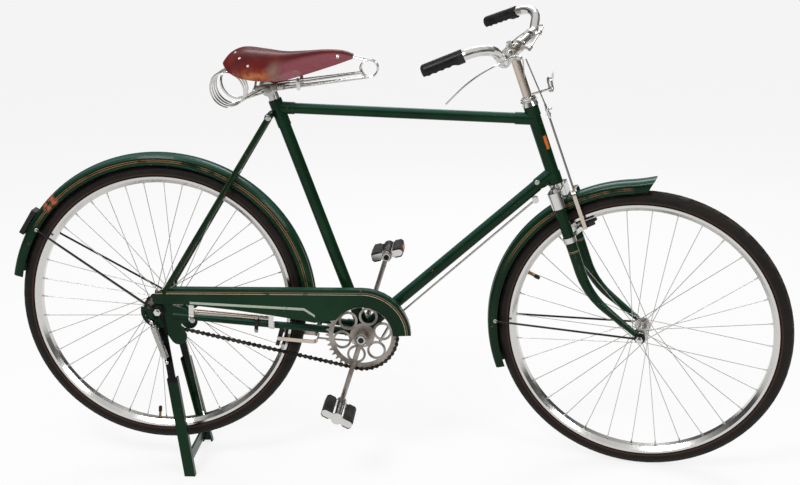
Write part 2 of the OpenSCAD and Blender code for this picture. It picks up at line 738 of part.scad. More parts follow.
module chain() {
    color(black) parked() {
        for (s = [-1, 1])
            plate_xz(-chain_line - plate_t / 2 + s * (tooth_t / 2 + plate_gap + plate_t / 2), plate_t) chain_loop();
        for (i = [0 : link_n - 1]) {
            s = chain_len * i / link_n;
            ring_room = roller_clear(ring_pitch_r);
            sprocket_room = roller_clear(sprocket_pitch_r);
            on_low = s > ring_arc + ring_room && s < ring_arc + run_len - sprocket_room;
            on_top = s > ring_arc + run_len + sprocket_arc + sprocket_room && s < chain_len - ring_room;
            if (on_low || on_top) {
                p = chain_pt(s, 0);
                translate([p.x, -chain_line + tooth_t / 2 + plate_gap, p.y]) rotate([90, 0, 0])
                    cylinder(h = tooth_t + 2 * plate_gap, r = roller_r - plate_gap, $fn = 8);
            }
        }
    }
}

// Rear axle and stand stop plate
module axle(half, nut_y) {
    across(0, 0, -half, half, axle_r);
    both_sides() difference() {
        nut(0, 0, nut_y, nut_y + nut_h, nut_r);
        across(0, 0, nut_y - cut, nut_y + nut_h + cut, axle_r);
    }
}
module rear_axle() {
    color(steel) parked() axle(rear_axle_half, rear_nut_y);
}
module front_axle() {
    color(steel) steered() at_front_axle() axle(front_axle_half, front_nut_y);
}

// Stop plates: slotted crescents outside the stand's eyes, with the spring's upper pin on the right one
stop_r = 42;
stop_slot_r = 31;
stop_slot_w = 6;
stop_from = 166;
stop_to = 290;
slot_from = 181;
slot_to = 265;
pin_r = 2.5;
pin_len = 14;
spring_pin = [-11, -21];
module sector(r, from, to) {
    polygon(concat([[0, 0]], [for (i = [0 : nose_steps]) turn2(2 * r, from + (to - from) * i / nose_steps)]));
}
module stand_stop_plate() {
    color(black) parked() {
        both_sides() plate_xz(stop_y, stop_t) difference() {
            union() {
                circle(stay_foot_r);
                intersection() {
                    circle(stop_r);
                    sector(stop_r, stop_from, stop_to);
                }
            }
            circle(axle_r + seat_gap);
            intersection() {
                difference() {
                    circle(stop_slot_r + stop_slot_w / 2);
                    circle(stop_slot_r - stop_slot_w / 2);
                }
                sector(stop_r, slot_from, slot_to);
            }
        }
        across(spring_pin.x, spring_pin.y, -stop_y - stop_t - pin_len, -stop_y - stop_t, pin_r);
    }
}

// Rear rod brake
brake_rod_r = 2.5;
rear_shoe_deg = -13;
shoe_gap = 5;
shoe_depth = 9;
shoe_half_w = 5.3;
shoe_len = 44;
shoe_y = 15.8;
shoe_pin_r = 4;
stirrup_y = 30;
stirrup_bend_r = 14;
stirrup_t = 3;
stirrup_w = 9;
stirrup_out = 10;
shoe_mid_r = rim_floor_r - shoe_gap - shoe_depth / 2;
// A flat strap bent to a U, open at its first end
module u_shape(from, to, half, bend) {
    translate([from, -half]) square([to - bend - from, 2 * half]);
    translate([from, -half + bend]) square([to - from, 2 * (half - bend)]);
    for (s = [-1, 1]) translate([to - bend, s * (half - bend)]) circle(bend);
}
module stirrup(shoe, top) {
    v = top - shoe;
    out = stirrup_t / 2;
    translate(shoe) rotate([0, -atan2(v.z, v.x), 0]) translate([0, 0, -stirrup_w / 2]) linear_extrude(stirrup_w)
        difference() {
            u_shape(-shoe_pin_r, norm(v) + out, stirrup_y + out, stirrup_bend_r + out);
            u_shape(-shoe_pin_r - cut, norm(v) - out, stirrup_y - out, stirrup_bend_r - out);
        }
}
rear_top_deg = -10.5;
rear_stirrup_top = polar(guard_r + stirrup_out, rear_top_deg);
// Rod along the down tube between two bell cranks, and the link from the lower one to the stirrup
rod_top_back = 72;
rod_low_ahead = 70;
rod_top_drop = 24;
rod_low_drop = 28;
crank_plate_r = 8;
link_ahead = 40;
link_drop = 34;
down_dir = unit(down_front - bb);
down_side = [down_dir.z, 0, -down_dir.x];
rod_top = down_front - rod_top_back * down_dir + rod_top_drop * down_side;
rod_low = bb + rod_low_ahead * down_dir + rod_low_drop * down_side;
rod_dir = unit(rod_top - rod_low);
link_front = bb + [link_ahead, 0, -link_drop];
module rear_brake_rod() {
    color(chrome) parked() {
        pole(rod_low + crank_plate_r * rod_dir, rod_top - crank_plate_r * rod_dir, brake_rod_r);
        pole(rear_stirrup_top + [stirrup_t / 2 + seat_gap, 0, 0], link_front, brake_rod_r);
    }
}
module rear_brake_stirrup() {
    color(chrome) parked() stirrup(polar(shoe_mid_r, rear_shoe_deg), rear_stirrup_top);
}
module brake_shoes(deg) {
    both_sides() rotate([0, -deg, 0]) {
        translate([shoe_mid_r - shoe_depth / 2, shoe_y - shoe_half_w, -shoe_len / 2])
            cube([shoe_depth, 2 * shoe_half_w, shoe_len]);
        across(shoe_mid_r, 0, shoe_y + shoe_half_w, stirrup_y - stirrup_t / 2 - seat_gap, shoe_pin_r);
    }
}
module rear_brake_shoes() {
    color(rubber_grey) parked() brake_shoes(rear_shoe_deg);
}
module bell_cranks() {
    color(chrome) parked() {
        for (end = [[rod_top, rod_top_drop, main_tube_r], [rod_low, rod_low_drop, main_tube_r]]) {
            across(end[0].x, end[0].z, -crank_plate_r, crank_plate_r, crank_plate_r - seat_gap);
            pole(end[0] - (end[1] - end[2] - seat_gap) * down_side, end[0], shoe_pin_r);
        }
        pole(rod_low, link_front + [0, 0, brake_rod_r + seat_gap], shoe_pin_r);
    }
}

// Fork
crown_wall = 3;
crown_sleeve = 14;
module fork_crown() {
    color(chrome) steered() {
        pole(on_axis(crown_low), on_axis(nuts_low + nuts_h), steerer_r);
        pole(on_axis(crown_low), on_axis(crown_low + crown_h), crown_r);
        head_frame(crown_low) linear_extrude(crown_h) strip([0, -fork_half_w], [0, fork_half_w], blade_r + crown_wall);
        both_sides() head_frame(crown_low - crown_sleeve) translate([0, fork_half_w, 0])
            linear_extrude(crown_sleeve + crown_wall) difference() {
                circle(blade_r + crown_wall - seat_gap);
                circle(blade_r + seat_gap);
            }
    }
}
// Lower ends: a bend and a straight stretch that reach the rake
tip_len = (fork_rake - fork_bend_r * (1 - cos(fork_bend_deg))) / sin(fork_bend_deg);
bend_s = fork_bend_r * sin(fork_bend_deg) + tip_len * cos(fork_bend_deg);
fork_tip_r = 13;
blade_path = concat([on_axis(crown_low)],
    [for (k = [0 : bend_steps])
        let (a = fork_bend_deg * k / bend_steps)
        on_axis(bend_s - fork_bend_r * sin(a)) + fork_bend_r * (1 - cos(a)) * fork_ahead],
    [front_axle_at - (fork_tip_r + seat_gap)
        * unit(fork_ahead * sin(fork_bend_deg) - steer_axis * cos(fork_bend_deg))]);
blade_radii = concat([blade_r],
    [for (k = [0 : bend_steps]) mix(blade_mid_r, blade_tip_r, k / bend_steps / 2)], [blade_tip_r]);
module fork_blades() {
    color(enamel) steered() both_sides() translate([0, fork_half_w, 0]) sweep(blade_path, blade_radii, bar_sides);
}
module fork_ends() {
    color(enamel) steered() both_sides() at_front_axle() difference() {
        across(0, 0, front_end_y, front_end_y + fork_end_t, fork_tip_r);
        across(0, 0, front_end_y - cut, front_end_y + fork_end_t + cut, axle_r + seat_gap);
    }
}

// Stem and handlebar
stem_r = 11;
stem_clamp_r = 15;
stem_clamp_half = 22;
pinch_half = 14;
pinch_r = 6;
bar_at = on_axis(stem_s);
module handlebar_stem() {
    color(chrome) steered() difference() {
        union() {
            pole(on_axis(nuts_low + nuts_h + seat_gap), bar_at, stem_r);
            across(bar_at.x, bar_at.z, -stem_clamp_half, stem_clamp_half, stem_clamp_r);
            translate([bar_at.x - stem_clamp_r - pinch_r, 0, bar_at.z - stem_clamp_r]) rotate([90, 0, 0])
                translate([0, 0, -pinch_half]) cylinder(h = 2 * pinch_half, r = pinch_r);
            translate([bar_at.x - stem_clamp_r - pinch_r, -pinch_half, bar_at.z - stem_clamp_r - pinch_r])
                cube([stem_clamp_r + pinch_r, 2 * pinch_half, 2 * pinch_r]);
        }
        across(bar_at.x, bar_at.z, -stem_clamp_half - cut, stem_clamp_half + cut, bar_r + seat_gap);
    }
}
module handlebar() {
    left = [for (i = [1 : len(bar_half) - 1]) bar_at + bar_half[i]];
    right = [for (i = [len(bar_half) - 1 : -1 : 1]) bar_at + side(bar_half[i], -1)];
    color(chrome) steered() bar(bent_path(concat(right, left), bar_bend_r, bend_steps), bar_r, bar_sides);
}
grip_dir = unit(bar_half[4] - bar_half[3]);
grip_end = bar_at + bar_half[4];
scallop_n = 5;
scallop_r = 13;
scallop_bite = 3;
grip_round_r = 9;
module grips() {
    flat_r = grip_r - grip_round_r;
    cap = grip_len + grip_r - bar_r;
    profile = concat([[0, 0], [grip_r, 0]],
        [for (i = [0 : bend_steps]) let (a = 90 * i / bend_steps)
            [flat_r + grip_round_r * cos(a), cap - grip_round_r + grip_round_r * sin(a)]],
        [[0, cap]]);
    start = grip_end - grip_len * grip_dir;
    color(black) steered() both_sides() difference() {
        translate(start) rotate([0, acos(grip_dir.z), atan2(grip_dir.y, grip_dir.x)]) rotate_extrude() polygon(profile);
        pole(start - cut * grip_dir, grip_end + seat_gap * grip_dir, bar_r + seat_gap);
        for (i = [1 : scallop_n]) {
            p = grip_end - grip_len * i / (scallop_n + 1) * grip_dir;
            across(p.x, p.z - grip_r - scallop_r + scallop_bite, p.y - 2 * grip_r, p.y + 2 * grip_r, scallop_r);
        }
    }
}

// Brake levers: a bent rod under each grip that rolls in brackets on the bar
lever_r = 2.5;
lever_bend_r = 70;
lever_half = [[-84, 282, -66], [-34, 274, -14], [40, 226, 20], [30, 60, -2]];
bracket_y = [62, 158];
bracket_half = 6;
bracket_wall = 3;
module brake_levers() {
    bar_dir = unit(bar_half[2] - bar_half[1]);
    color(chrome) steered() both_sides() {
        bar(bent_path([for (p = lever_half) bar_at + p], lever_bend_r, bend_steps), lever_r, wire_sides);
        for (y = bracket_y) {
            bar_pt = bar_at + mix(bar_half[1], bar_half[2], (y - bar_half[1].y) / (bar_half[2].y - bar_half[1].y));
            lever_pt = bar_at + mix(lever_half[3], lever_half[2], (y - lever_half[3].y) / (lever_half[2].y - lever_half[3].y));
            difference() {
                union() {
                    pole(bar_pt - bracket_half * bar_dir, bar_pt + bracket_half * bar_dir, bar_r + bracket_wall);
                    pole(bar_pt, lever_pt, bracket_half - lever_r / 2);
                }
                pole(bar_pt - 2 * bracket_half * bar_dir, bar_pt + 2 * bracket_half * bar_dir, bar_r + seat_gap);
            }
        }
    }
}

// Front rod brake
front_shoe_deg = 120.5;
front_top_deg = 118.5;
front_stirrup_top = front_axle_at + polar(guard_r + stirrup_out, front_top_deg);
rod_side = [0, -14, 0];
rod_from = [34, 0, -12];
adjuster_ahead = 37;
adjuster_drop = 14;
front_rod_r = 1.6;
module front_brake_rod() {
    top = bar_at + rod_from + rod_side;
    mid = on_axis(nuts_low - adjuster_drop) + adjuster_ahead * fork_ahead + rod_side;
    low = front_stirrup_top + polar(stirrup_t / 2 + seat_gap, front_top_deg) + rod_side;
    color(chrome) steered() {
        pole(top, mid, front_rod_r);
        pole(mid, low, brake_rod_r);
    }
}
module front_brake_stirrup() {
    color(chrome) steered() stirrup(front_axle_at + polar(shoe_mid_r, front_shoe_deg), front_stirrup_top);
}
module front_brake_shoes() {
    color(rubber_grey) steered() at_front_axle() brake_shoes(front_shoe_deg);
}
guide_h = 13;
guide_arm_r = 5;
guide_drop = 14;
module front_brake_guides() {
    low = front_axle_at + polar(shoe_mid_r, front_shoe_deg);
    s = (low - axis_foot) * steer_axis;
    reach = (low - axis_foot) * fork_ahead - stirrup_w / 2 - guide_arm_r - 2 * seat_gap;
    r = mix(blade_mid_r, blade_r, (s - guide_drop - bend_s) / (crown_low - bend_s)) + seat_gap;
    color(chrome) steered() both_sides() head_frame(s - guide_drop) {
        translate([0, fork_half_w, -guide_h / 2]) difference() {
            cylinder(h = guide_h, r = r + clip_t);
            translate([0, 0, -cut]) cylinder(h = guide_h + 2 * cut, r = r);
        }
        plate_xz(fork_half_w - r - clip_t / 2 - guide_arm_r, guide_arm_r) strip([0, 0], [reach, guide_drop], guide_arm_r);
    }
}

// Lamp bracket, clamped above the headset
bracket_t = 3;
bracket_half_w = 8;
bracket_reach = 50;
bracket_tab_h = 38;
bracket_tab_half_w = 7;
lamp_hole_r = 4;
module lamp_bracket() {
    color(chrome) steered() head_frame(nuts_low + nuts_h + seat_gap) {
        translate([stem_r + seat_gap, -bracket_half_w, 0]) cube([bracket_reach, 2 * bracket_half_w, bracket_t]);
        translate([stem_r + seat_gap + bracket_reach - bracket_t, 0, bracket_t / 4]) rotate([0, 90 - head_angle, 0]) difference() {
            translate([0, -bracket_tab_half_w, 0]) cube([bracket_t, 2 * bracket_tab_half_w, bracket_tab_h]);
            translate([-bracket_t, 0, bracket_tab_h - bracket_half_w]) rotate([0, 90, 0])
                cylinder(h = 3 * bracket_t, r = lamp_hole_r);
        }
    }
}

// Wheels
module tyre() {
    rotate([90, 0, 0]) rotate_extrude($fn = 96) intersection() {
        translate([tyre_mid_r, 0]) circle(tyre_r, $fn = 32);
        translate([tyre_mid_r - bead_drop, -tyre_r]) square([tyre_r + bead_drop, 2 * tyre_r]);
    }
}
rim_edge_share = 0.4;
module rim() {
    low = rim_r - rim_depth * rim_edge_share;
    rotate([90, 0, 0]) rotate_extrude($fn = 96) polygon([
        [rim_r, -rim_half_w], [rim_r, rim_half_w], [low, rim_half_w],
        [rim_floor_r, rim_floor_half_w], [rim_floor_r, -rim_floor_half_w], [low, -rim_half_w]]);
}
// Spokes cross on each side; the two ways run on the two faces of a flange
spoke_weave = 3.1;
spoke_rim_y = 3;
spoke_crossings = 3;
function spoke_cross(n) = 2 * 360 * spoke_crossings / n;
module spokes(n, flange_r, flange_y) {
    hole_r = flange_r - 2 * spoke_r;
    for (i = [0 : n - 1]) {
        s = i % 2 == 0 ? 1 : -1;
        way = floor(i / 2) % 2 == 0 ? 1 : -1;
        rim_deg = 360 * i / n;
        hub_deg = rim_deg + way * spoke_cross(n);
        a = [hole_r * cos(hub_deg), s * (flange_y + way * spoke_weave), hole_r * sin(hub_deg)];
        b = [(rim_floor_r - seat_gap) * cos(rim_deg), s * spoke_rim_y, (rim_floor_r - seat_gap) * sin(rim_deg)];
        pole(a, b, spoke_r);
    }
}
flange_t = 2.4;
module hub(half, flange_r, flange_y, barrel_r, end_r) {
    profile = [
        [axle_r + shaft_gap, -half], [end_r, -half], [end_r, -flange_y - barrel_r], [barrel_r, -flange_y - flange_t],
        [flange_r, -flange_y - flange_t / 2], [flange_r, -flange_y + flange_t / 2], [barrel_r, -flange_y + flange_t],
        [barrel_r, flange_y - flange_t], [flange_r, flange_y - flange_t / 2], [flange_r, flange_y + flange_t / 2],
        [barrel_r, flange_y + flange_t], [end_r, flange_y + barrel_r], [end_r, half], [axle_r + shaft_gap, half]];
    rotate([-90, 0, 0]) rotate_extrude() polygon(profile);
}
front_flange_r = 19;
front_flange_y = 32;
front_barrel_r = 10;
front_end_r = 9;
rear_flange_r = 27;
rear_flange_y = 27;
rear_barrel_r = 16;
rear_end_r = 14;
module front_tyre() {
    color(tyre_brown) steered() at_front_axle() tyre();
}
module front_rim() {
    color(chrome) steered() at_front_axle() rim();
}
module front_spokes() {
    color(chrome) steered() at_front_axle() spokes(front_spoke_n, front_flange_r, front_flange_y);
}
module front_hub() {
    color(chrome) steered() at_front_axle()
        hub(front_hub_half, front_flange_r, front_flange_y, front_barrel_r, front_end_r);
}
module rear_tyre() {
    color(tyre_brown) parked() tyre();
}
module rear_rim() {
    color(chrome) parked() rim();
}
module rear_spokes() {
    color(chrome) parked() spokes(rear_spoke_n, rear_flange_r, rear_flange_y);
}
module rear_hub() {
    color(chrome) parked() hub(rear_hub_half, rear_flange_r, rear_flange_y, rear_barrel_r, rear_end_r);
}

// Toothed wheels
module toothed(n, pitch_r) {
    root = pitch_r - tooth_ded;
    tip = pitch_r + tooth_add;
    step = 360 / n;
    polygon([for (i = [0 : n - 1], c = tooth_shares) turn2(mix(root, tip, c[0]), step * (i + c[1]))]);
}
// Corners of a tooth: share of its height, share of its step
tooth_shares = [[0, 0.2], [1, 0.42], [1, 0.58], [0, 0.8]];
module rear_sprocket() {
    color(steel) parked() plate_xz(-chain_line - tooth_t / 2, tooth_t) difference() {
        toothed(sprocket_teeth, sprocket_pitch_r);
        circle(rear_end_r + seat_gap);
    }
}
// Chainring: a toothed rim joined to its boss by a ring of plain loops
loop_n = 6;
loop_wall = 5.5;
ring_rim_w = 15;
ring_boss_r = 30;
module chainring() {
    inner = ring_pitch_r - ring_rim_w;
    mid = (inner + ring_boss_r) / 2;
    loop_r = (inner - ring_boss_r + loop_wall) / 2;
    color(steel) parked() plate_xz(-chain_line - tooth_t / 2, tooth_t) translate(ring_mid) rotate(crank_deg) difference() {
        union() {
            difference() {
                toothed(ring_teeth, ring_pitch_r);
                circle(inner);
            }
            for (i = [0 : loop_n - 1]) translate(turn2(mid, 360 * i / loop_n)) difference() {
                circle(loop_r);
                circle(loop_r - loop_wall);
            }
            circle(ring_boss_r);
        }
        circle(crank_axle_r + seat_gap);
    }
}

// Cranks and pedals
crank_boss_r = 15;
crank_eye_r = 12;
crank_root_r = 6;
crank_tip_r = 6;
boss_in_y = chain_line + tooth_t / 2 + seat_gap;
function crank_eye(deg) = bb + polar(crank_len, deg);
module crank(deg) {
    eye = crank_eye(deg);
    mid_y = (crank_in_y + crank_out_y) / 2;
    difference() {
        union() {
            across(bb.x, bb.z, boss_in_y, crank_out_y, crank_boss_r);
            rod([bb.x, mid_y, bb.z], [eye.x, mid_y, eye.z], crank_root_r, crank_tip_r);
            across(eye.x, eye.z, crank_in_y, crank_out_y, crank_eye_r);
        }
        across(bb.x, bb.z, boss_in_y - cut, crank_out_y + cut, crank_axle_r + seat_gap);
    }
    across(eye.x, eye.z, crank_out_y, pedal_in_y + pedal_len - 2 * pedal_plate_t, spindle_r);
}
module right_crank() {
    color(steel) parked() mirror([0, 1, 0]) crank(crank_deg + 180);
}
module left_crank() {
    color(steel) parked() crank(crank_deg);
}
module crank_axle() {
    color(steel) parked() across(bb.x, bb.z, -crank_out_y, crank_out_y, crank_axle_r);
}
pedal_plate_t = 3;
pedal_barrel_r = 9;
pedal_disc_r = 14;
pedal_bar_r = 8;
rubber_w = 25;
rubber_h = 24;
rubber_cut = 5;
module at_pedal(deg, tilt) {
    eye = crank_eye(deg);
    translate(eye) rotate([0, tilt, 0]) children();
}
module pedal_frame() {
    out_y = pedal_in_y + pedal_len;
    difference() {
        union() {
            across(0, 0, pedal_in_y, out_y, pedal_barrel_r);
            for (y = [pedal_in_y, out_y - pedal_plate_t])
                plate_xz(y, pedal_plate_t) {
                    circle(pedal_disc_r);
                    strip([-pedal_half_w + pedal_bar_r, 0], [pedal_half_w - pedal_bar_r, 0], pedal_bar_r);
                }
        }
        across(0, 0, pedal_in_y - cut, out_y - pedal_plate_t, spindle_r + shaft_gap);
    }
}
module pedal_rubbers() {
    half_h = rubber_h / 2;
    len_y = pedal_len - 2 * pedal_plate_t - 2 * seat_gap;
    for (s = [-1, 1])
        plate_xz(pedal_in_y + pedal_plate_t + seat_gap, len_y)
            translate([s * (pedal_half_w - rubber_w / 2), 0])
                polygon([for (p = [[-1, -1], [1, -1], [1, 1], [-1, 1]], c = p.x * p.y > 0 ? [0, 1] : [1, 0])
                    [p.x * (rubber_w / 2 - (c == 0 ? 0 : rubber_cut)), p.y * (half_h - (c == 0 ? rubber_cut : 0))]]);
}
module right_pedal_frame() {
    color(chrome) parked() mirror([0, 1, 0]) at_pedal(crank_deg + 180, right_pedal_deg) pedal_frame();
}
module right_pedal_rubbers() {
    color(rubber_grey) parked() mirror([0, 1, 0]) at_pedal(crank_deg + 180, right_pedal_deg) pedal_rubbers();
}
module left_pedal_frame() {
    color(chrome) parked() at_pedal(crank_deg, left_pedal_deg) pedal_frame();
}
module left_pedal_rubbers() {
    color(rubber_grey) parked() at_pedal(crank_deg, left_pedal_deg) pedal_rubbers();
}

// Stand: an eye and a strap on each side, then channel legs that splay to the feet, joined by a crosspiece under the tyre
leg_len = norm([stand_ahead, ride_h]);
leg_dir = [stand_ahead, 0, -ride_h] / leg_len;
strap_len = 64;
strap_half_w = 9;
leg_half_w = 13;
leg_depth = 15;
knee_share = 0.3;
knee_lap = 18;
foot_over = 30;
cross_share = 0.9;
cross_half_h = 15;
cross_t = 5;
stand_eye_r = 16;
low_pin_share = 0.17;
splay_share = (stand_half_w - stand_eye_y - stand_eye_t / 2) / (leg_len - strap_len);
function leg_y(u) = stand_eye_y + splay_share * max(0, u - strap_len);
function leg_u(share) = mix(strap_len, leg_len, share);
function on_leg(share) = leg_u(share) * leg_dir + [0, leg_y(leg_u(share)) + stand_eye_t / 2, 0];
// A plate in the plane of a leg: distances down the leg, depth inwards from the outer face, and its place across the leg
module leg_plate(downs, depth, from, to) {
    z = -leg_dir;
    x = cross([0, 1, 0], z);
    multmatrix([[x.x, 0, z.x, 0], [x.y, 1, z.y, 0], [x.z, 0, z.z, 0], [0, 0, 0, 1]]) rotate([90, 0, 90])
        translate([0, 0, from]) linear_extrude(to - from) polygon(concat(
            [for (u = downs) [leg_y(u) + stand_eye_t, -u]],
            backwards([for (u = downs) [leg_y(u) + stand_eye_t - depth, -u]])));
}
module stand_legs() {
    knee = leg_u(knee_share);
    foot = leg_len + foot_over;
    cross_at = on_leg(cross_share);
    color(enamel) upright_at_axle() difference() {
        union() {
            both_sides() {
                across(0, 0, stand_eye_y, stand_eye_y + stand_eye_t, stand_eye_r);
                leg_plate([0, strap_len, knee + knee_lap], stand_eye_t, -strap_half_w, strap_half_w);
                leg_plate([knee, foot], stand_eye_t, -leg_half_w, leg_half_w);
                for (x = [-leg_half_w, leg_half_w - stand_eye_t]) leg_plate([knee, foot], leg_depth, x, x + stand_eye_t);
            }
            translate([cross_at.x - cross_t / 2, -cross_at.y, cross_at.z - cross_half_h])
                cube([cross_t, 2 * cross_at.y, 2 * cross_half_h]);
            across(low_pin.x, low_pin.z, -low_pin.y - pin_len, -low_pin.y, pin_r);
        }
        across(0, 0, -stand_half_w, stand_half_w, axle_r + seat_gap);
        translate([-ride_h, -ride_h, -2 * ride_h]) cube([2 * ride_h, 2 * ride_h, ride_h]);
    }
}
low_pin = on_leg(low_pin_share);
spring_r = 5.5;
spring_hook_r = 1.6;
spring_body_share = 2.2;
spring_y = stop_y + stop_t + pin_len - 2 * spring_hook_r;
// Upper pin in the upright frame, and the spring from pin to pin
top_pin = [spring_pin.x * cos(park_deg) + spring_pin.y * sin(park_deg), 0, spring_pin.y * cos(park_deg) - spring_pin.x * sin(park_deg)];
module stand_spring() {
    a = [top_pin.x, -spring_y, top_pin.z];
    b = [low_pin.x, -spring_y, low_pin.z];
    d = unit(b - a);
    hook = pin_r + seat_gap + spring_hook_r;
    color(chrome) upright_at_axle() {
        pole(a + spring_body_share * hook * d, b - spring_body_share * hook * d, spring_r);
        pole(a + (pin_r + seat_gap) * d, b - (pin_r + seat_gap) * d, spring_hook_r);
    }
}

head_tube();
top_tube();
down_tube();
seat_tube();
bottom_bracket_shell();
chain_stays();
seat_stays();
headset_cups();
seat_pillar();
saddle_frame();
saddle_leather();
rear_mudguard();
rear_mudguard_stays();
rear_reflector();
chain_guard();
guard_clips();
chain();
rear_axle();
stand_stop_plate();
rear_brake_rod();
rear_brake_stirrup();
rear_brake_shoes();
bell_cranks();
fork_crown();
fork_blades();
fork_ends();
headset_nuts();
handlebar_stem();
handlebar();
grips();
brake_levers();
front_brake_rod();
front_brake_stirrup();
front_brake_shoes();
front_brake_guides();
lamp_bracket();
front_mudguard();
front_mudguard_stays();
front_axle();
front_tyre();
front_rim();
front_spokes();
front_hub();
rear_tyre();
rear_rim();
rear_spokes();
rear_hub();
rear_sprocket();
chainring();
right_crank();
left_crank();
crank_axle();
right_pedal_frame();
right_pedal_rubbers();
left_pedal_frame();
left_pedal_rubbers();
stand_legs();
stand_spring();
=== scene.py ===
"""Looks for a gents' roadster bicycle with rod brakes, parked on its rear stand."""

import json
import math

import bmesh
import bpy
from mathutils import Matrix, Vector


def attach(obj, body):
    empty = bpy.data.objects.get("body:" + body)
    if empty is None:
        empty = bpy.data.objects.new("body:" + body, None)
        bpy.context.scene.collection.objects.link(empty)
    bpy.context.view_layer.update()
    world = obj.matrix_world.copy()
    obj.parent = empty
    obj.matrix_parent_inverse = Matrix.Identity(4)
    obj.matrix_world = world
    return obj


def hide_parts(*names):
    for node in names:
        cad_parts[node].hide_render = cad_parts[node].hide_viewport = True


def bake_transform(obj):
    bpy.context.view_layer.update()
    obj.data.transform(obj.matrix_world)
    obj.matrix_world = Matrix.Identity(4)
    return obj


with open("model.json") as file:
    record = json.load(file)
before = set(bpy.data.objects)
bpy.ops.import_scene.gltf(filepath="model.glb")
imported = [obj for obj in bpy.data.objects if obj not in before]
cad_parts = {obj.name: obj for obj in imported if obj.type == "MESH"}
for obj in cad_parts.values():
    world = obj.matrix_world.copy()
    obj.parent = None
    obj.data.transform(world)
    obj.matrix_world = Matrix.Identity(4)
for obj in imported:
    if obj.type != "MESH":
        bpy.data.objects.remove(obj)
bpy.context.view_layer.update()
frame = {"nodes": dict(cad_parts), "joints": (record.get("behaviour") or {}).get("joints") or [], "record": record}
nodes = frame["nodes"]
joints = {joint["name"]: joint for joint in frame["joints"]}
MM = 0.001
SPIN_Y = Vector((0, 1, 0))


def joint_at(name):
    return Vector(joints[name]["pos_m"])


def joint_axis(name):
    return Vector(joints[name]["axis"]).normalized()


# The level bicycle frame of the source: rear axle at the origin, X forward, Z up, in millimetres
BRACKET_X, BRACKET_DROP = 492, 40
WHEELBASE = 1162
STEM_AT = Vector((814, 0, 648.6))
STEER_UP = Vector((-0.3665, 0, 0.9304))
CRANK_DEG, CRANK_LEN = 75, 170

# Where that frame and its wheels are in the scene, parked and with the bars turned
REAR_AXLE = joint_at("rear_wheel_spin")
FRONT_AXLE = joint_at("front_wheel_spin")
SPINDLE = joint_axis("front_wheel_spin")
BRACKET = joint_at("crank_spin")
to_bracket = BRACKET - REAR_AXLE
PARK = math.atan2(-BRACKET_DROP, BRACKET_X) - math.atan2(to_bracket.z, to_bracket.x)
LEVEL = Matrix.Translation(REAR_AXLE) @ Matrix.Rotation(PARK, 4, "Y")
STEER_FOOT = joint_at("steering")
STEER_AXIS = joint_axis("steering")
LEVEL_Y = LEVEL.to_3x3() @ SPIN_Y
STEER_REST = math.atan2(STEER_AXIS.dot(LEVEL_Y.cross(SPINDLE)), LEVEL_Y.dot(SPINDLE))
STEERED = (
    Matrix.Translation(STEER_FOOT)
    @ Matrix.Rotation(STEER_REST, 4, STEER_AXIS)
    @ Matrix.Translation(-STEER_FOOT)
    @ LEVEL
)
REAR_WHEEL = LEVEL
FRONT_WHEEL = STEERED @ Matrix.Translation((WHEELBASE * MM, 0, 0))
UPRIGHT = Matrix.Translation(REAR_AXLE)

# Camera of the photograph
SENSOR = 36.0
FOCAL_PX, PHOTO_W = 1281.0, 800.0
CAMERA_AT = Vector((0.205, -2.986, 1.347))
CAMERA_YAW, CAMERA_PITCH, CAMERA_ROLL = 3.68, -14.81, 0.96


def add_camera():
    data = bpy.data.cameras.new("photo_camera")
    data.sensor_width = SENSOR
    data.sensor_fit = "HORIZONTAL"
    data.lens = SENSOR * FOCAL_PX / PHOTO_W
    data.clip_end = 200
    camera = bpy.data.objects.new("photo_camera", data)
    bpy.context.scene.collection.objects.link(camera)
    turn = (
        Matrix.Rotation(math.radians(CAMERA_YAW), 4, "Z")
        @ Matrix.Rotation(math.radians(CAMERA_PITCH), 4, "X")
        @ Matrix.Rotation(math.radians(CAMERA_ROLL), 4, "Y")
        @ Matrix.Rotation(math.radians(90), 4, "X")
    )
    camera.matrix_world = Matrix.Translation(CAMERA_AT) @ turn
    bpy.context.scene.camera = camera


def operator(operation, swapped=False):
    """A method of Num that adds one Math node."""

    def method(self, other=0.0):
        a, b = (other, self) if swapped else (self, other)
        return self.shading.math(operation, a, b)

    return method


class Num:
    """A socket that takes Python's operators."""

    __add__ = __radd__ = operator("ADD")
    __sub__ = operator("SUBTRACT")
    __rsub__ = operator("SUBTRACT", swapped=True)
    __mul__ = __rmul__ = operator("MULTIPLY")
    __abs__ = operator("ABSOLUTE")

    def __init__(self, shading, socket):
        self.shading = shading
        self.socket = socket


class Shading:
    """A tree of shader nodes, built as expressions."""

    def __init__(self, tree):
        self.tree = tree

    def node(self, kind, settings=None, values=None, out=0):
        made = self.tree.nodes.new(kind)
        for key, value in (settings or {}).items():
            if key == "stops":
                ramp = made.color_ramp
                while len(ramp.elements) < len(value):
                    ramp.elements.new(0.5)
                for element, (spot, color) in zip(ramp.elements, value):
                    element.position = spot
                    element.color = (*color, 1)
            else:
                setattr(made, key, value)
        for key, value in (values or {}).items():
            self.feed(made.inputs[key], value)
        return Num(self, made.outputs[out])

    def feed(self, socket, value):
        if isinstance(value, Num):
            self.tree.links.new(value.socket, socket)
        elif socket.type == "RGBA":
            socket.default_value = (*value, 1)
        else:
            socket.default_value = value

    def math(self, operation, a, b=0.0):
        return self.node("ShaderNodeMath", {"operation": operation}, {0: a, 1: b})

    def vector(self, operation, a, b=(0, 0, 0), out=0):
        return self.node("ShaderNodeVectorMath", {"operation": operation}, {0: a, 1: tuple(b)}, out)

    def mix(self, share, a, b):
        return self.node("ShaderNodeMix", {"data_type": "RGBA"}, {0: share, 6: a, 7: b}, 2)


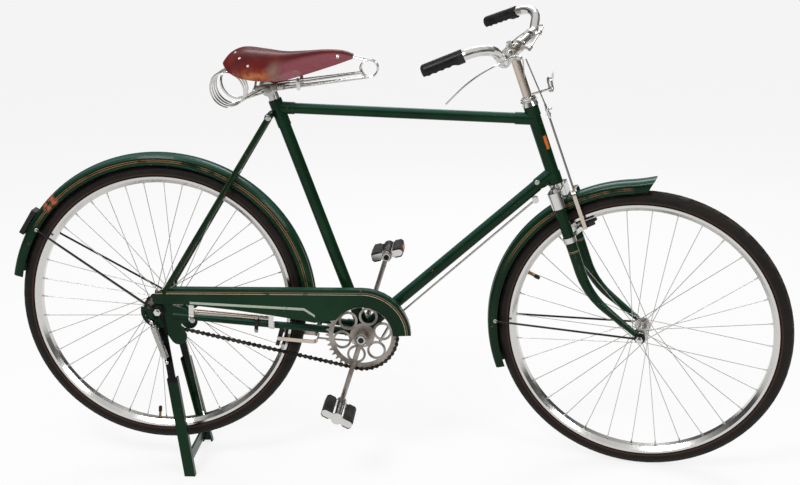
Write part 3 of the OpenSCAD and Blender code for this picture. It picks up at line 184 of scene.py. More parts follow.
class Finish(Shading):
    """One material, with the measures and masks that its colours are mixed by."""

    def __init__(self, name, **sockets):
        self.material = bpy.data.materials.new(name)
        self.material.use_nodes = True
        super().__init__(self.material.node_tree)
        self.shader = self.tree.nodes["Principled BSDF"]
        for key, value in sockets.items():
            self.shader.inputs[key.replace("_", " ")].default_value = value
        self.place = self.node("ShaderNodeTexCoord", out="Object")

    def noise(self, scale, detail=2.0):
        values = {"Vector": self.place, "Scale": scale, "Detail": detail}
        return self.node("ShaderNodeTexNoise", {}, values, "Fac")

    def step(self, value, low, high):
        return self.node(
            "ShaderNodeMapRange",
            {"interpolation_type": "SMOOTHSTEP"},
            {"Value": value, "From Min": low, "From Max": high},
        )

    def band(self, value, middle, half, soft):
        return 1 - self.step(abs(value - middle), half - soft, half + soft)

    def along(self, origin, direction):
        offset = self.vector("SUBTRACT", self.place, origin)
        return self.vector("DOT_PRODUCT", offset, direction, "Value")

    def radius(self, origin, direction):
        offset = self.vector("SUBTRACT", self.place, origin)
        return self.vector("LENGTH", self.vector("CROSS_PRODUCT", offset, direction), out="Value")

    def upward(self):
        normal = self.node("ShaderNodeNewGeometry", out="Normal")
        return self.node("ShaderNodeSeparateXYZ", {}, {0: normal}, "Z")

    def bump(self, height, distance, strength=0.5):
        values = {"Height": height, "Distance": distance, "Strength": strength}
        self.set("Normal", self.node("ShaderNodeBump", {}, values, "Normal"))

    def set(self, socket, value):
        self.feed(self.shader.inputs[socket], value)


# Colours, linear
GREEN_DEEP = (0.0022, 0.0165, 0.0060)
GREEN_LIGHT = (0.0045, 0.0290, 0.0105)
# Pale teal for upward faces: a painted sky highlight, with some sun fade
GREEN_FADE_AND_SHEEN = (0.028, 0.094, 0.074)
BLACK_PAINT = (0.003, 0.003, 0.003)
DUST = (0.16, 0.14, 0.11)
RUST = (0.17, 0.055, 0.018)
RUST_DARK = (0.06, 0.022, 0.01)
PRIMER = (0.62, 0.15, 0.035)
SCUFF = (0.42, 0.11, 0.065)
GOLD = (0.22, 0.115, 0.055)
CREAM = (0.44, 0.41, 0.32)
# Pale green-white for the bead's crest: a pale line with a painted highlight in it
BEAD_LINE_AND_SHEEN = (0.36, 0.42, 0.33)


def enamel(name, lines=None):
    """Deep green stoving enamel with dust, chips and, where given, painted lines; upward faces are lighter teal, a
    painted sky highlight with some sun fade.
    """
    f = Finish(name, Coat_Weight=0.06, Coat_Roughness=0.03, Specular_IOR_Level=0.1)
    tint = f.step(f.noise(7, 3), 0.35, 0.7)
    color = f.mix(tint, GREEN_DEEP, GREEN_LIGHT)
    # Upward faces mixed towards pale teal: a painted highlight of the bright sky, with some sun fade
    color = f.mix(0.75 * f.step(f.upward(), 0.25, 0.9), color, GREEN_FADE_AND_SHEEN)
    if lines:
        for mask, paint in lines(f):
            worn = mask * f.step(f.noise(38, 4), 0.26, 0.40)
            color = f.mix(worn, color, paint)
    dust = f.step(f.upward(), 0.2, 1.0) * f.step(f.noise(24, 5), 0.42, 0.8) * 0.10
    color = f.mix(dust, color, DUST)
    chips = f.step(f.noise(150, 3), 0.66, 0.70) * f.step(f.noise(11, 2), 0.52, 0.62)
    color = f.mix(chips, color, RUST)
    f.set("Base Color", color)
    f.set("Roughness", 0.10 + 0.20 * f.noise(30, 4) + 0.4 * chips + dust)
    f.bump(f.noise(90, 2) - 2 * chips, 0.0006, 0.12)
    return f.material


LINE_R, LINE_GAP = 0.3588, 0.0020


def guard_lines(origin, direction, worn):
    """Two gold lines with a dark one between, low on each side of a mudguard and worn in places."""

    def lines(f):
        reach = f.radius(origin, direction)
        side = f.step(abs(f.along(origin, direction)), 0.015, 0.019)
        side = side * worn(f, f.along(origin, (1, 0, 0)), f.along(origin, (0, 0, 1)))
        fine = 0.9 * side * f.step(f.noise(16, 4), 0.34, 0.48)
        return (
            (0.7 * side * f.band(reach, LINE_R, 0.0016, 0.0004), BLACK_PAINT),
            (fine * f.band(reach, LINE_R + LINE_GAP, 0.0009, 0.0003), GOLD),
            (fine * f.band(reach, LINE_R - LINE_GAP, 0.0009, 0.0003), GOLD),
        )

    return lines


def rear_worn(f, ahead, height):
    """Lines all along, apart from the tail."""
    return f.math("MAXIMUM", f.step(ahead, -0.1, 0.0), f.step(height, 0.19, 0.22))


def front_worn(f, ahead, height):
    """Lines only over the wheel, behind the tip."""
    return f.step(height, 0.12, 0.24) * (1 - f.step(ahead, -0.045, -0.03))


def rear_guard_marks(f):
    """The lines, and a scuff down to the primer ahead of the reflector."""
    off = level_axis(f, (-276.4, 0, 245.5), (0.664, 0, 0.7476))
    scuff = f.band(off, 0.0, 0.019, 0.006) * f.step(f.noise(85, 4), 0.42, 0.56)
    near = 1 - f.step(level_axis(f, (0, 0, 0), (0, 1, 0)), -0.004, 0.004)
    behind = 1 - f.step(level_axis(f, (0, 0, 0), (1, 0, 0)), -0.02, 0.0)
    return (*guard_lines(REAR_AXLE, SPIN_Y, rear_worn)(f), (0.85 * scuff * near * behind, SCUFF))


def level_axis(f, origin, direction):
    """Distance along a direction of the level frame, from a point in millimetres."""
    return f.along(LEVEL @ (Vector(origin) * MM), LEVEL.to_3x3() @ Vector(direction).normalized())


def chain_guard_lines(f):
    """Two lines that follow the upper edge and the nose, and a pale crest on the bead: a pale line with the bead's
    highlight painted into it.
    """
    tail, top = Vector((34, 0, 57)), Vector((487.9, 0, 77.9))
    run = (top - tail).normalized()
    below = level_axis(f, tail, (run.z, 0, -run.x))
    nose = f.step(level_axis(f, top, (1, 0, 0)), -0.001, 0.001)
    reach = f.radius(BRACKET, LEVEL_Y)
    # The bead's crest is coloured pale: a pale line, with the bead's highlight painted into it
    bead = f.step(level_axis(f, (0, -65.0, 0), (0, -1, 0)), 0.0, 0.0004)
    lines = [(bead, BEAD_LINE_AND_SHEEN)]
    for inset, half, paint in ((0.0082, 0.0009, GOLD), (0.0124, 0.0006, CREAM)):
        straight = f.band(below, inset, half, 0.0002) * (1 - nose)
        round_nose = f.band(reach, 0.118 - inset, half, 0.0002) * nose
        lines.append((straight + round_nose, paint))
    return lines


def seat_stay_lines(f):
    """Fine lines along both edges of the stays."""
    low, high = Vector((12, 0, 43)), Vector((255.4, 0, 474))
    run = (high - low).normalized()
    off = abs(level_axis(f, low, (run.z, 0, -run.x)))
    return ((0.4 * f.band(off, 0.0050, 0.0005, 0.0002) * f.step(f.noise(18, 3), 0.4, 0.55), GOLD),)


def fork_lines(f):
    """A ring above the bend of each blade."""
    ring = f.along(STEERED @ (Vector((1001.8, 0, 200)) * MM), STEER_AXIS)
    return ((f.band(ring, 0.0, 0.0007, 0.0002), GOLD), (f.band(ring, 0.003, 0.0004, 0.0002), CREAM))


def head_scratch(f):
    """A long chip down to orange primer on the right of the head tube."""
    top, low = Vector((898.0, 0, 461)), Vector((910.8, 0, 427))
    run = (low - top).normalized()
    wobble = 0.004 * (f.noise(120, 3) - 0.5)
    down = level_axis(f, (top + low) / 2, run) + wobble
    across = level_axis(f, (top + low) / 2, (run.z, 0, -run.x)) + wobble
    near = f.step(level_axis(f, (0, -9, 0), (0, -1, 0)), 0.0, 0.002)
    return ((f.band(down, 0.0, 0.016, 0.002) * f.band(across, 0.0, 0.0042, 0.001) * near, PRIMER),)


STRAP_FOOT = -0.178


def leg_paint(f):
    """Black straps above the green channels of the stand."""
    return ((f.step(f.along(REAR_AXLE, (0, 0, 1)), STRAP_FOOT, STRAP_FOOT + 0.0015), BLACK_PAINT),)


def chrome(name, base=(0.62, 0.61, 0.59), rough=0.1, rusty=0.5):
    """Plating with fine haze and freckles of rust."""
    f = Finish(name, Metallic=1.0)
    haze = f.noise(45, 4)
    freckle = f.step(f.noise(330, 2), 0.68, 0.74) * f.step(f.noise(16, 3), 0.66 - 0.2 * rusty, 0.74)
    stain = f.step(f.noise(23, 4), 0.55, 0.85) * 0.35 * rusty
    color = f.mix(stain, base, (0.36, 0.31, 0.26))
    color = f.mix(freckle, color, RUST)
    f.set("Base Color", color)
    f.set("Metallic", 1 - 0.9 * freckle)
    f.set("Roughness", rough + 0.16 * haze + 0.5 * freckle)
    f.bump(haze - 1.5 * freckle, 0.0003, 0.1)
    return f.material


def worn_steel(name, base, dark, rough=0.34):
    """Plating worn to bare metal, brown in its hollows."""
    f = Finish(name, Metallic=1.0)
    cloud = f.step(f.noise(28, 5), 0.35, 0.7)
    pits = f.step(f.noise(210, 3), 0.6, 0.7)
    color = f.mix(cloud, base, dark)
    color = f.mix(pits * 0.7, color, RUST_DARK)
    f.set("Base Color", color)
    f.set("Metallic", 0.95 - 0.6 * pits)
    f.set("Roughness", rough + 0.25 * cloud)
    f.bump(f.noise(180, 3) - pits, 0.0004, 0.2)
    return f.material


def rubber(name, base, pale, rough=0.55):
    """Old rubber with a pale bloom."""
    f = Finish(name, Roughness=rough, Specular_IOR_Level=0.18)
    bloom = f.step(f.noise(36, 5), 0.4, 0.8)
    f.set("Base Color", f.mix(bloom, base, pale))
    f.set("Roughness", rough + 0.2 * bloom)
    f.bump(f.noise(420, 3), 0.0004, 0.25)
    return f.material


WALL_LINE_R, TREAD_FROM_R, TREAD_FULL_R = 0.3245, 0.343, 0.349


def tyre_rubber(name, origin, direction):
    """Brown-black rubber with a red-brown line low on each wall and a dusty tread."""
    f = Finish(name, Specular_IOR_Level=0.2)
    bloom = f.step(f.noise(22, 5), 0.4, 0.8)
    color = f.mix(bloom, (0.007, 0.0055, 0.0045), (0.017, 0.013, 0.010))
    reach = f.radius(origin, direction)
    color = f.mix(f.band(reach, WALL_LINE_R, 0.0014, 0.0006) * 0.45, color, (0.105, 0.035, 0.018))
    tread = f.step(reach, TREAD_FROM_R, TREAD_FULL_R)
    color = f.mix(tread * f.step(f.noise(60, 4), 0.35, 0.75) * 0.6, color, (0.085, 0.068, 0.05))
    f.set("Base Color", color)
    f.set("Roughness", 0.55 + 0.3 * bloom)
    f.bump(f.noise(300, 4), 0.0005, 0.3)
    return f.material


def leather(name):
    """Polished red-brown leather, mauve ahead and worn to orange low on its sides."""
    f = Finish(name, Coat_Weight=0.10, Coat_Roughness=0.06, Specular_IOR_Level=0.1)
    ahead = level_axis(f, (150, 0, 600), (1, 0, 0))
    above = level_axis(f, (150, 0, 600), (0, 0, 1))
    cloud = f.step(f.noise(20, 4), 0.3, 0.75)
    color = f.mix(cloud, (0.072, 0.0035, 0.0040), (0.175, 0.0100, 0.0070))
    drift = 0.05 * (f.noise(14, 3) - 0.5)
    front = f.step(ahead + drift, 0.125, 0.155)
    front = front * (1 - f.step(f.upward(), 0.42, 0.72))
    color = f.mix(front * 0.85, color, (0.250, 0.075, 0.090))
    pale = f.band(ahead + drift, 0.128, 0.012, 0.012) * f.band(above, -0.012, 0.016, 0.014)
    color = f.mix(pale * 0.7, color, (0.26, 0.18, 0.15))
    patch = f.band(ahead + drift, 0.088, 0.030, 0.024) * f.band(above + 0.4 * drift, -0.020, 0.010, 0.012)
    color = f.mix(patch * f.step(f.noise(45, 4), 0.28, 0.6), color, (0.46, 0.15, 0.055))
    cracks = f.node(
        "ShaderNodeTexVoronoi", {"feature": "DISTANCE_TO_EDGE"}, {"Vector": f.place, "Scale": 420}, "Distance"
    )
    grain = f.step(cracks, 0.0, 0.18)
    color = f.mix((1 - grain) * 0.35, color, (0.030, 0.005, 0.004))
    f.set("Base Color", color)
    f.set("Roughness", 0.22 + 0.22 * f.noise(60, 4) + 0.2 * (1 - grain) + 0.12 * front)
    f.bump(grain + 0.6 * f.noise(120, 3), 0.0006, 0.22)
    return f.material


def lens(name):
    """Dark moulded plastic."""
    f = Finish(name, Roughness=0.25, Specular_IOR_Level=0.2)
    cloud = f.noise(40, 3)
    f.set("Base Color", f.mix(cloud, (0.006, 0.006, 0.006), (0.02, 0.018, 0.016)))
    f.set("Roughness", 0.18 + 0.3 * cloud)
    return f.material


GREEN = enamel("green_enamel")
REAR_GUARD_GREEN = enamel("rear_mudguard_enamel", rear_guard_marks)
FRONT_GUARD_GREEN = enamel("front_mudguard_enamel", guard_lines(FRONT_AXLE, SPINDLE, front_worn))
CHAIN_GUARD_GREEN = enamel("chain_guard_enamel", chain_guard_lines)
SEAT_STAY_GREEN = enamel("seat_stay_enamel", seat_stay_lines)
FORK_GREEN = enamel("fork_enamel", fork_lines)
HEAD_GREEN = enamel("head_tube_enamel", head_scratch)
STAND_GREEN = enamel("stand_enamel", leg_paint)
CHROME = chrome("chrome")
DULL_CHROME = chrome("dull_chrome", (0.5, 0.49, 0.47), 0.2, 0.9)
# Warm brown base: a painted reflection of brown surroundings, over real heavy staining
WARM_REFLECTION_CHROME = chrome("chrome_painted_warm_reflection", (0.56, 0.48, 0.41), 0.16, 1.0)
ROD_STEEL = chrome("rod_steel", (0.24, 0.23, 0.22), 0.24, 0.9)
STEEL = worn_steel("worn_steel", (0.36, 0.33, 0.30), (0.20, 0.17, 0.145))
CHAIN_STEEL = worn_steel("chain_steel", (0.05, 0.045, 0.04), (0.02, 0.017, 0.014), 0.4)
BRASS = worn_steel("rivet_brass", (0.34, 0.20, 0.075), (0.13, 0.065, 0.03), 0.3)
AMBER = rubber("amber_reflector", (0.34, 0.075, 0.02), (0.42, 0.13, 0.05), 0.25)
BLACK = rubber("black_enamel", (0.006, 0.006, 0.006), (0.02, 0.019, 0.017), 0.3)
LENS = lens("black_plastic")
BLOCKS = rubber("block_rubber", (0.016, 0.016, 0.016), (0.05, 0.047, 0.042))
GRIP = rubber("grip_rubber", (0.006, 0.006, 0.006), (0.02, 0.02, 0.02), 0.32)
LEATHER = leather("saddle_leather")
REAR_TYRE = tyre_rubber("rear_tyre_rubber", REAR_AXLE, SPIN_Y)
FRONT_TYRE = tyre_rubber("front_tyre_rubber", FRONT_AXLE, SPINDLE)

# Finishes by the names of nodes, or else of material slots
DRESS = {
    name: finish
    for finish, names in (
        (GREEN, "green_enamel stand_stop_plate"),
        (REAR_GUARD_GREEN, "rear_mudguard"),
        (FRONT_GUARD_GREEN, "front_mudguard"),
        (CHAIN_GUARD_GREEN, "chain_guard"),
        (SEAT_STAY_GREEN, "seat_stays"),
        (FORK_GREEN, "fork_blades"),
        (HEAD_GREEN, "head_tube"),
        (STAND_GREEN, "stand_legs"),
        (CHROME, "chrome rear_axle front_axle"),
        (DULL_CHROME, "rear_spokes front_spokes rear_hub front_hub seat_pillar rear_brake_rod"),
        (WARM_REFLECTION_CHROME, "handlebar_stem front_brake_stirrup rear_brake_stirrup"),
        (ROD_STEEL, "front_brake_rod"),
        (STEEL, "worn_steel"),
        (CHAIN_STEEL, "chain_steel"),
        (BLACK, "black_enamel"),
        (LENS, "black_plastic"),
        (BLOCKS, "block_rubber"),
        (GRIP, "grip_rubber"),
        (LEATHER, "saddle_leather"),
        (REAR_TYRE, "rear_tyre"),
        (FRONT_TYRE, "front_tyre"),
    )
    for name in names.split()
}


def dress_nodes():
    for part in frame["record"]["subparts"]:
        name = part["node"]
        finish = DRESS.get(name) or DRESS[part["material_slot"]]
        nodes[name].data.materials.clear()
        nodes[name].data.materials.append(finish)


# Shaping by hand: a primitive in edit mode, then operators, then a finished piece at the origin
def begin(primitive, **sizes):
    if bpy.context.object and bpy.context.object.mode != "OBJECT":
        bpy.ops.object.mode_set(mode="OBJECT")
    bpy.ops.object.select_all(action="DESELECT")
    getattr(bpy.ops.mesh, f"primitive_{primitive}_add")(**sizes)
    bpy.ops.object.transform_apply(location=True, rotation=True, scale=True)
    bpy.ops.object.mode_set(mode="EDIT")
    return bpy.context.object


def select_all():
    bpy.ops.mesh.select_all(action="SELECT")


def pick(piece, kind, wanted):
    """Select the vertices, edges or faces that pass a test."""
    bpy.ops.mesh.select_mode(type=kind)
    bpy.ops.mesh.select_all(action="DESELECT")
    mesh = bmesh.from_edit_mesh(piece.data)
    for item in {"VERT": mesh.verts, "EDGE": mesh.edges, "FACE": mesh.faces}[kind]:
        item.select_set(wanted(item))
    bmesh.update_edit_mesh(piece.data)


def begin_round(sides, radius, spot=(0, 0, 0), turn=(0, 0, 0), fill="NGON"):
    """A round with all of it selected: its radius in millimetres, its place in metres."""
    piece = begin("circle", vertices=sides, radius=radius * MM, location=spot, rotation=turn, fill_type=fill)
    select_all()
    return piece


def pull(*offset):
    """Extrude what is selected by an offset in metres."""
    bpy.ops.mesh.extrude_region_move(TRANSFORM_OT_translate={"value": offset})


def close_up(piece):
    """Merge doubles, turn the faces outwards and leave edit mode."""
    select_all()
    bpy.ops.mesh.remove_doubles(threshold=0.00001)
    bpy.ops.mesh.normals_make_consistent(inside=False)
    bpy.ops.object.mode_set(mode="OBJECT")


def apply_modifier(piece, kind, **settings):
    modifier = piece.modifiers.new(kind.lower(), kind)
    for key, value in settings.items():
        setattr(modifier, key, value)
    bpy.context.view_layer.objects.active = piece
    bpy.ops.object.modifier_apply(modifier=modifier.name)


def bevel(piece, width):
    sharp = math.radians(50)
    apply_modifier(piece, "BEVEL", width=width * MM, segments=2, limit_method="ANGLE", angle_limit=sharp)


def finish_piece(piece, name, body, places=(Matrix(),), finish=CHROME, smooth=30):
    """Copy a shaped piece to its places, join the copies and put them on a body."""
    bpy.ops.object.select_all(action="DESELECT")
    piece.select_set(True)
    bpy.context.view_layer.objects.active = piece
    bpy.ops.object.shade_smooth_by_angle(angle=math.radians(smooth))
    copies = []
    for place in places:
        mesh = piece.data.copy()
        mesh.transform(place)
        copy = bpy.data.objects.new(name, mesh)
        bpy.context.scene.collection.objects.link(copy)
        copies.append(copy)
    bpy.data.objects.remove(piece)
    bpy.ops.object.select_all(action="DESELECT")
    for copy in copies:
        copy.select_set(True)
    bpy.context.view_layer.objects.active = copies[0]
    if len(copies) > 1:
        bpy.ops.object.join()
    made = bpy.context.object
    made.name = name
    made.data.materials.clear()
    made.data.materials.append(finish)
    if body:
        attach(made, body)
    return made


def turned(sides, rings):
    """A turned piece along Z: heights and radii in millimetres, extruded ring by ring."""
    height, radius = rings[0]
    piece = begin_round(sides, radius, (0, 0, height * MM))
    for next_height, next_radius in rings[1:]:
        pull(0, 0, (next_height - height) * MM)
        share = next_radius / radius
        bpy.ops.transform.resize(value=(share, share, 1), center_override=(0, 0, next_height * MM))
        height, radius = next_height, next_radius
    close_up(piece)
    return piece


def add_turned(name, rings, places, body, finish=CHROME, sides=20):
    finish_piece(turned(sides, rings), name, body, places, finish)


def outlined(outline):
    """A face in the XZ plane, drawn from a round, with all of it selected."""
    piece = begin_round(len(outline), 10)
    mesh = bmesh.from_edit_mesh(piece.data)
    for vert, (x, z) in zip(mesh.verts, outline):
        vert.co = Vector((x, 0, z)) * MM
    bmesh.update_edit_mesh(piece.data)
    return piece


def flat_plate(outline, thick):
    """A plate in the XZ plane, given its thickness towards -Y."""
    piece = outlined(outline)
    pull(0, -thick * MM, 0)
    close_up(piece)
    bevel(piece, 0.25 * thick)
    return piece


def stadium(a, b, radius, steps=8):
    """Outline of a strap between two points."""
    a, b = Vector(a), Vector(b)
    start = math.atan2(b.y - a.y, b.x - a.x) + math.pi / 2
    outline = []
    for middle, turn in ((a, start), (b, start + math.pi)):
        for k in range(steps + 1):
            angle = turn + math.pi * k / steps
            outline.append((middle.x + radius * math.cos(angle), middle.y + radius * math.sin(angle)))
    return outline


def draped(columns, rows, point, outward):
    """A grid laid over a surface, which is a function of two shares, with its faces turned outwards."""
    piece = begin("grid", x_subdivisions=columns, y_subdivisions=rows, size=1)
    mesh = bmesh.from_edit_mesh(piece.data)
    for vert in mesh.verts:
        vert.co = point(vert.co.x + 0.5, vert.co.y + 0.5)
    mesh.normal_update()
    if sum(outward(face) for face in mesh.faces) < 0:
        bmesh.ops.reverse_faces(mesh, faces=mesh.faces)
    bmesh.update_edit_mesh(piece.data)
    bpy.ops.object.mode_set(mode="OBJECT")
    return piece


def wire_coil(radius, turns, pitch, wire, sides=8, per_turn=32):
    """A coil of wire about Z, starting on its X side and closed at its ends."""
    coil = begin_round(sides, wire, (radius * MM, 0, 0), (math.pi / 2, 0, 0), "NOTHING")
    bpy.ops.object.mode_set(mode="OBJECT")
    sweep, rise, steps = 2 * math.pi * turns, pitch * turns * MM, round(per_turn * turns)
    apply_modifier(coil, "SCREW", angle=sweep, screw_offset=rise, steps=steps, render_steps=steps)
    bpy.ops.object.mode_set(mode="EDIT")
    select_all()
    bpy.ops.mesh.remove_doubles(threshold=0.00001)
    bpy.ops.mesh.fill_holes(sides=sides + 2)
    close_up(coil)
    return coil


def bent_wire(points, bends, radius, sides=10):
    """A round wire along straight runs and bends, extruded and spun from a round."""
    here, first = points[0], points[1] - points[0]
    piece = begin_round(sides, radius, here, first.to_track_quat("Z", "Y").to_euler())
    for before, corner, after, bend in zip(points, points[1:], points[2:], bends):
        u, v = (corner - before).normalized(), (after - corner).normalized()
        turn = u.angle(v)
        cut = bend * MM * math.tan(turn / 2)
        start = corner - cut * u
        pull(*(start - here))
        axis = u.cross(v).normalized()
        bpy.ops.mesh.spin(steps=10, angle=turn, center=start + bend * MM * axis.cross(u), axis=-axis)
        here = corner + cut * v
    pull(*(points[-1] - here))
    close_up(piece)
    return piece


# Places
def facing(at, way):
    """Place with its Z along a direction."""
    return Matrix.Translation(at) @ Vector(way).to_track_quat("Z", "Y").to_matrix().to_4x4()


def at(place, x, y, z):
    """A point of one of the source's frames, given in millimetres."""
    return place @ (Vector((x, y, z)) * MM)


def way(place, x, y, z):
    return (place.to_3x3() @ Vector((x, y, z))).normalized()


def on(place, spot, direction):
    return facing(at(place, *spot), way(place, *direction))


def both(place, spot, direction):
    """A place and its mirror image on the other side."""
    x, y, z = spot
    return [on(place, (x, s * y, z), (direction[0], s * direction[1], direction[2])) for s in (-1, 1)]


def aside(place, y):
    return place @ Matrix.Translation((0, y * MM, 0))


def framed(spot, along, across):
    """Place with its Z along one direction and its Y across it."""
    z = Vector(along).normalized()
    x = Vector(across).cross(z).normalized()
    return Matrix.Translation(spot) @ Matrix((x, z.cross(x), z)).transposed().to_4x4()


def polar(radius, deg, y):
    return (radius * math.cos(math.radians(deg)), y, radius * math.sin(math.radians(deg)))


def pedal_axis(y):
    """A point on the left pedal's axis."""
    x, y, z = polar(CRANK_LEN, CRANK_DEG, y)
    return Vector((BRACKET_X + x, y, z - BRACKET_DROP))


# Tyres, with a chequer of small blocks raised round the tread
TYRE_MID_R, TYRE_R, BLOCK_H, BLOCK_INSET = 331, 18.2, 0.8, 0.9
TREAD_STEPS, SECTION_SIDES, TREAD_DEG = 150, 28, 54


def add_tyre(name, node, place, finish, body):
    piece = begin_round(SECTION_SIDES, TYRE_R, (TYRE_MID_R * MM, 0, 0), fill="NOTHING")
    bpy.ops.mesh.spin(steps=TREAD_STEPS, angle=2 * math.pi, center=(0, 0, 0), axis=(0, 1, 0))
    select_all()
    bpy.ops.mesh.remove_doubles(threshold=0.00002)
    bpy.ops.mesh.normals_make_consistent(inside=False)

    def raised(face):
        x, y, z = face.calc_center_median()
        deg = math.degrees(math.atan2(y, math.hypot(x, z) - TYRE_MID_R * MM))
        row = math.floor(deg / (360 / SECTION_SIDES))
        column = math.floor(math.degrees(math.atan2(z, x)) / (360 / TREAD_STEPS))
        return abs(deg) < TREAD_DEG and (row + column) % 2 == 0

    pick(piece, "FACE", raised)
    bpy.ops.mesh.inset(thickness=BLOCK_INSET * MM, use_individual=True)
    bpy.ops.transform.shrink_fatten(value=BLOCK_H * MM)
    close_up(piece)
    made = finish_piece(piece, name, body, (place,), finish, 40)
    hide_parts(node)


# Spoke nipples and valves
RIM_FLOOR_R, RIM_STAGGER, SPOKE_CROSS = 303.4, 3, 6
HOLE_INSET, HEAD_STAGGER = 1.8, 3.1


def spoke_lines(count, flange_r, flange_y):
    """Both ends of each spoke, at the rim and at the hub."""
    hole_r = flange_r - HOLE_INSET
    for i in range(count):
        side = 1 if i % 2 == 0 else -1
        turn = 1 if (i // 2) % 2 == 0 else -1
        rim = 360 * i / count
        hub = rim + turn * 360 * SPOKE_CROSS / count
        yield (
            Vector(polar(RIM_FLOOR_R, rim, side * RIM_STAGGER)),
            Vector(polar(hole_r, hub, side * (flange_y + turn * HEAD_STAGGER))),
        )


def add_nipples(name, place, count, flange_r, flange_y, body):
    rings = ((-1, 2.6), (2.2, 2.6), (3.2, 1.9), (11, 1.6), (11.6, 1.1))
    places = [on(place, rim, hub - rim) for rim, hub in spoke_lines(count, flange_r, flange_y)]
    add_turned(name, rings, places, body, sides=6)


def add_valve(name, place, deg, body):
    out = Vector(polar(1, deg, 0))
    spot = [on(place, RIM_FLOOR_R * out, -out)]
    stem = ((-2, 4.4), (2, 4.4), (2.4, 3.2), (17, 3.2), (17.4, 2.6))
    add_turned(f"{name}_stem", stem, spot, body, BRASS, sides=12)
    cap = ((16.4, 2.8), (16.4, 4.1), (18, 4.5), (28, 4.5), (30, 3.6), (31, 2))
    add_turned(f"{name}_cap", cap, spot, body, LENS, 12)


# Nuts with their washers, and plain wires
def add_nuts(name, places, body, radius=5.5, finish=DULL_CHROME):
    washer = ((-0.4, radius * 1.35), (1.0, radius * 1.35), (1.4, radius * 1.2))
    add_turned(f"{name}_washers", washer, places, body, finish)
    rings = ((1.0, 1.0), (4.6, 1.0), (5.4, 0.86), (5.4, 0.52), (7.6, 0.52), (8.0, 0.4))
    nut = turned(6, [(height, radius * share) for height, share in rings])
    finish_piece(nut, name, body, places, finish, smooth=20)


def add_rods(name, ends, radius, finish, body, place):
    """Plain wires between pairs of points, with their ends rounded off."""
    end_r, rounding = radius * 0.6, radius * 0.4
    for i, (a, b) in enumerate(ends):
        run = Vector(b) - Vector(a)
        length = run.length
        rings = ((0, end_r), (rounding, radius), (length - rounding, radius), (length, end_r))
        add_turned(f"{name}_{i + 1}", rings, (on(place, a, run),), body, finish, sides=12)


# Saddle: a sheet drawn over the source's sections, then given its wall
CLAMP = Vector((254.88, 0, 541.04))
SADDLE_BACK, SADDLE_H, SADDLE_LEN, SADDLE_HALF_W, SKIRT = 105, 95, 298, 104, 92
SKIRT_POWER, SIDE_POWER, TAIL_TUCK, LEATHER_THICK = 2.6, 0.75, 14, 4.6
SADDLE_ROWS = (
    # along, half width, crown below the top, skirt below the crown
    (0, 0.72, 0.38, 0.12),
    (0.05, 0.92, 0.16, 0.4),
    (0.14, 1, 0.045, 0.6),
    (0.3, 0.93, 0.07, 0.66),
    (0.47, 0.68, 0.109, 0.64),
    (0.64, 0.42, 0.06, 0.55),
    (0.8, 0.28, 0.008, 0.43),
    (0.93, 0.22, 0.02, 0.26),
    (1, 0.15, 0.09, 0.1),
)


def saddle_row(share):
    """The section at a share of the length, by a smooth curve through the rows."""
    rows = SADDLE_ROWS
    i = max(k for k in range(len(rows) - 1) if rows[k][0] <= share or k == 0)
    a, b = rows[i], rows[i + 1]
    before, after = rows[max(i - 1, 0)], rows[min(i + 2, len(rows) - 1)]
    span = b[0] - a[0]
    t = min(max((share - a[0]) / span, 0), 1)
    values = []
    for k in (1, 2, 3):
        low = (b[k] - before[k]) / (b[0] - before[0]) * span
        high = (after[k] - a[k]) / (after[0] - a[0]) * span
        values.append(
            (2 * t**3 - 3 * t**2 + 1) * a[k]
            + (t**3 - 2 * t**2 + t) * low
            + (3 * t**2 - 2 * t**3) * b[k]
            + (t**3 - t**2) * high
        )
    return values


def saddle_point(along, across):
    half_w, crown, skirt = saddle_row(along)
    c = math.cos(math.pi * across)
    droop = abs(c) ** SKIRT_POWER
    tuck = TAIL_TUCK * max(0, 1 - along / 0.2) * droop
    return at(
        LEVEL,
        CLAMP.x - SADDLE_BACK + along * SADDLE_LEN + tuck,
        -half_w * SADDLE_HALF_W * math.copysign(abs(c) ** SIDE_POWER, c),
        CLAMP.z + SADDLE_H - crown * SKIRT - skirt * SKIRT * droop,
    )


def add_saddle():
    piece = draped(36, 32, saddle_point, lambda face: face.normal.z)
    apply_modifier(piece, "SOLIDIFY", thickness=LEATHER_THICK * MM, offset=-1, use_even_offset=True)
    bevel(piece, 1.4)
    apply_modifier(piece, "SUBSURF", levels=1, render_levels=1)
    made = finish_piece(piece, "saddle_cover", "frame", finish=LEATHER, smooth=60)
    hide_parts("saddle_leather")


def saddle_rivet(along, across):
    spot = saddle_point(along, across)
    u = saddle_point(along + 0.01, across) - spot
    v = saddle_point(along, across + 0.01) - spot
    out = u.cross(v).normalized()
    if out.dot(spot - at(LEVEL, *CLAMP)) < 0:
        out = -out
    return facing(spot, out)


def add_saddle_rivets():
    side = ((0.105, 0.37), (0.150, 0.28), (0.225, 0.21))
    cantle = [saddle_rivet(u, v) for u, v in side] + [saddle_rivet(u, 1 - v) for u, v in side]
    small = ((-0.8, 3.4), (0.6, 3.4), (1.3, 2.7), (1.8, 1.6), (2.0, 0.6))
    add_turned("cantle_rivets", small, cantle, "frame")
    nose = [saddle_rivet(0.885, v) for v in (0.24, 0.76)]
    large = ((-0.8, 4.8), (0.7, 4.8), (1.7, 3.8), (2.4, 2.2), (2.7, 0.9))
    add_turned("nose_rivets", large, nose, "frame")


# Wires and clamp under the saddle
SADDLE_WIRE, REAR_COIL_WIRE, REAR_COIL_R, NOSE_COIL_R = 2.2, 1.9, 41.5, 20
REAR_COIL_PITCH, REAR_COIL_TURNS = 10.5, 3.5
NOSE_COIL_PITCH, NOSE_COIL_TURNS = 7, 1.5


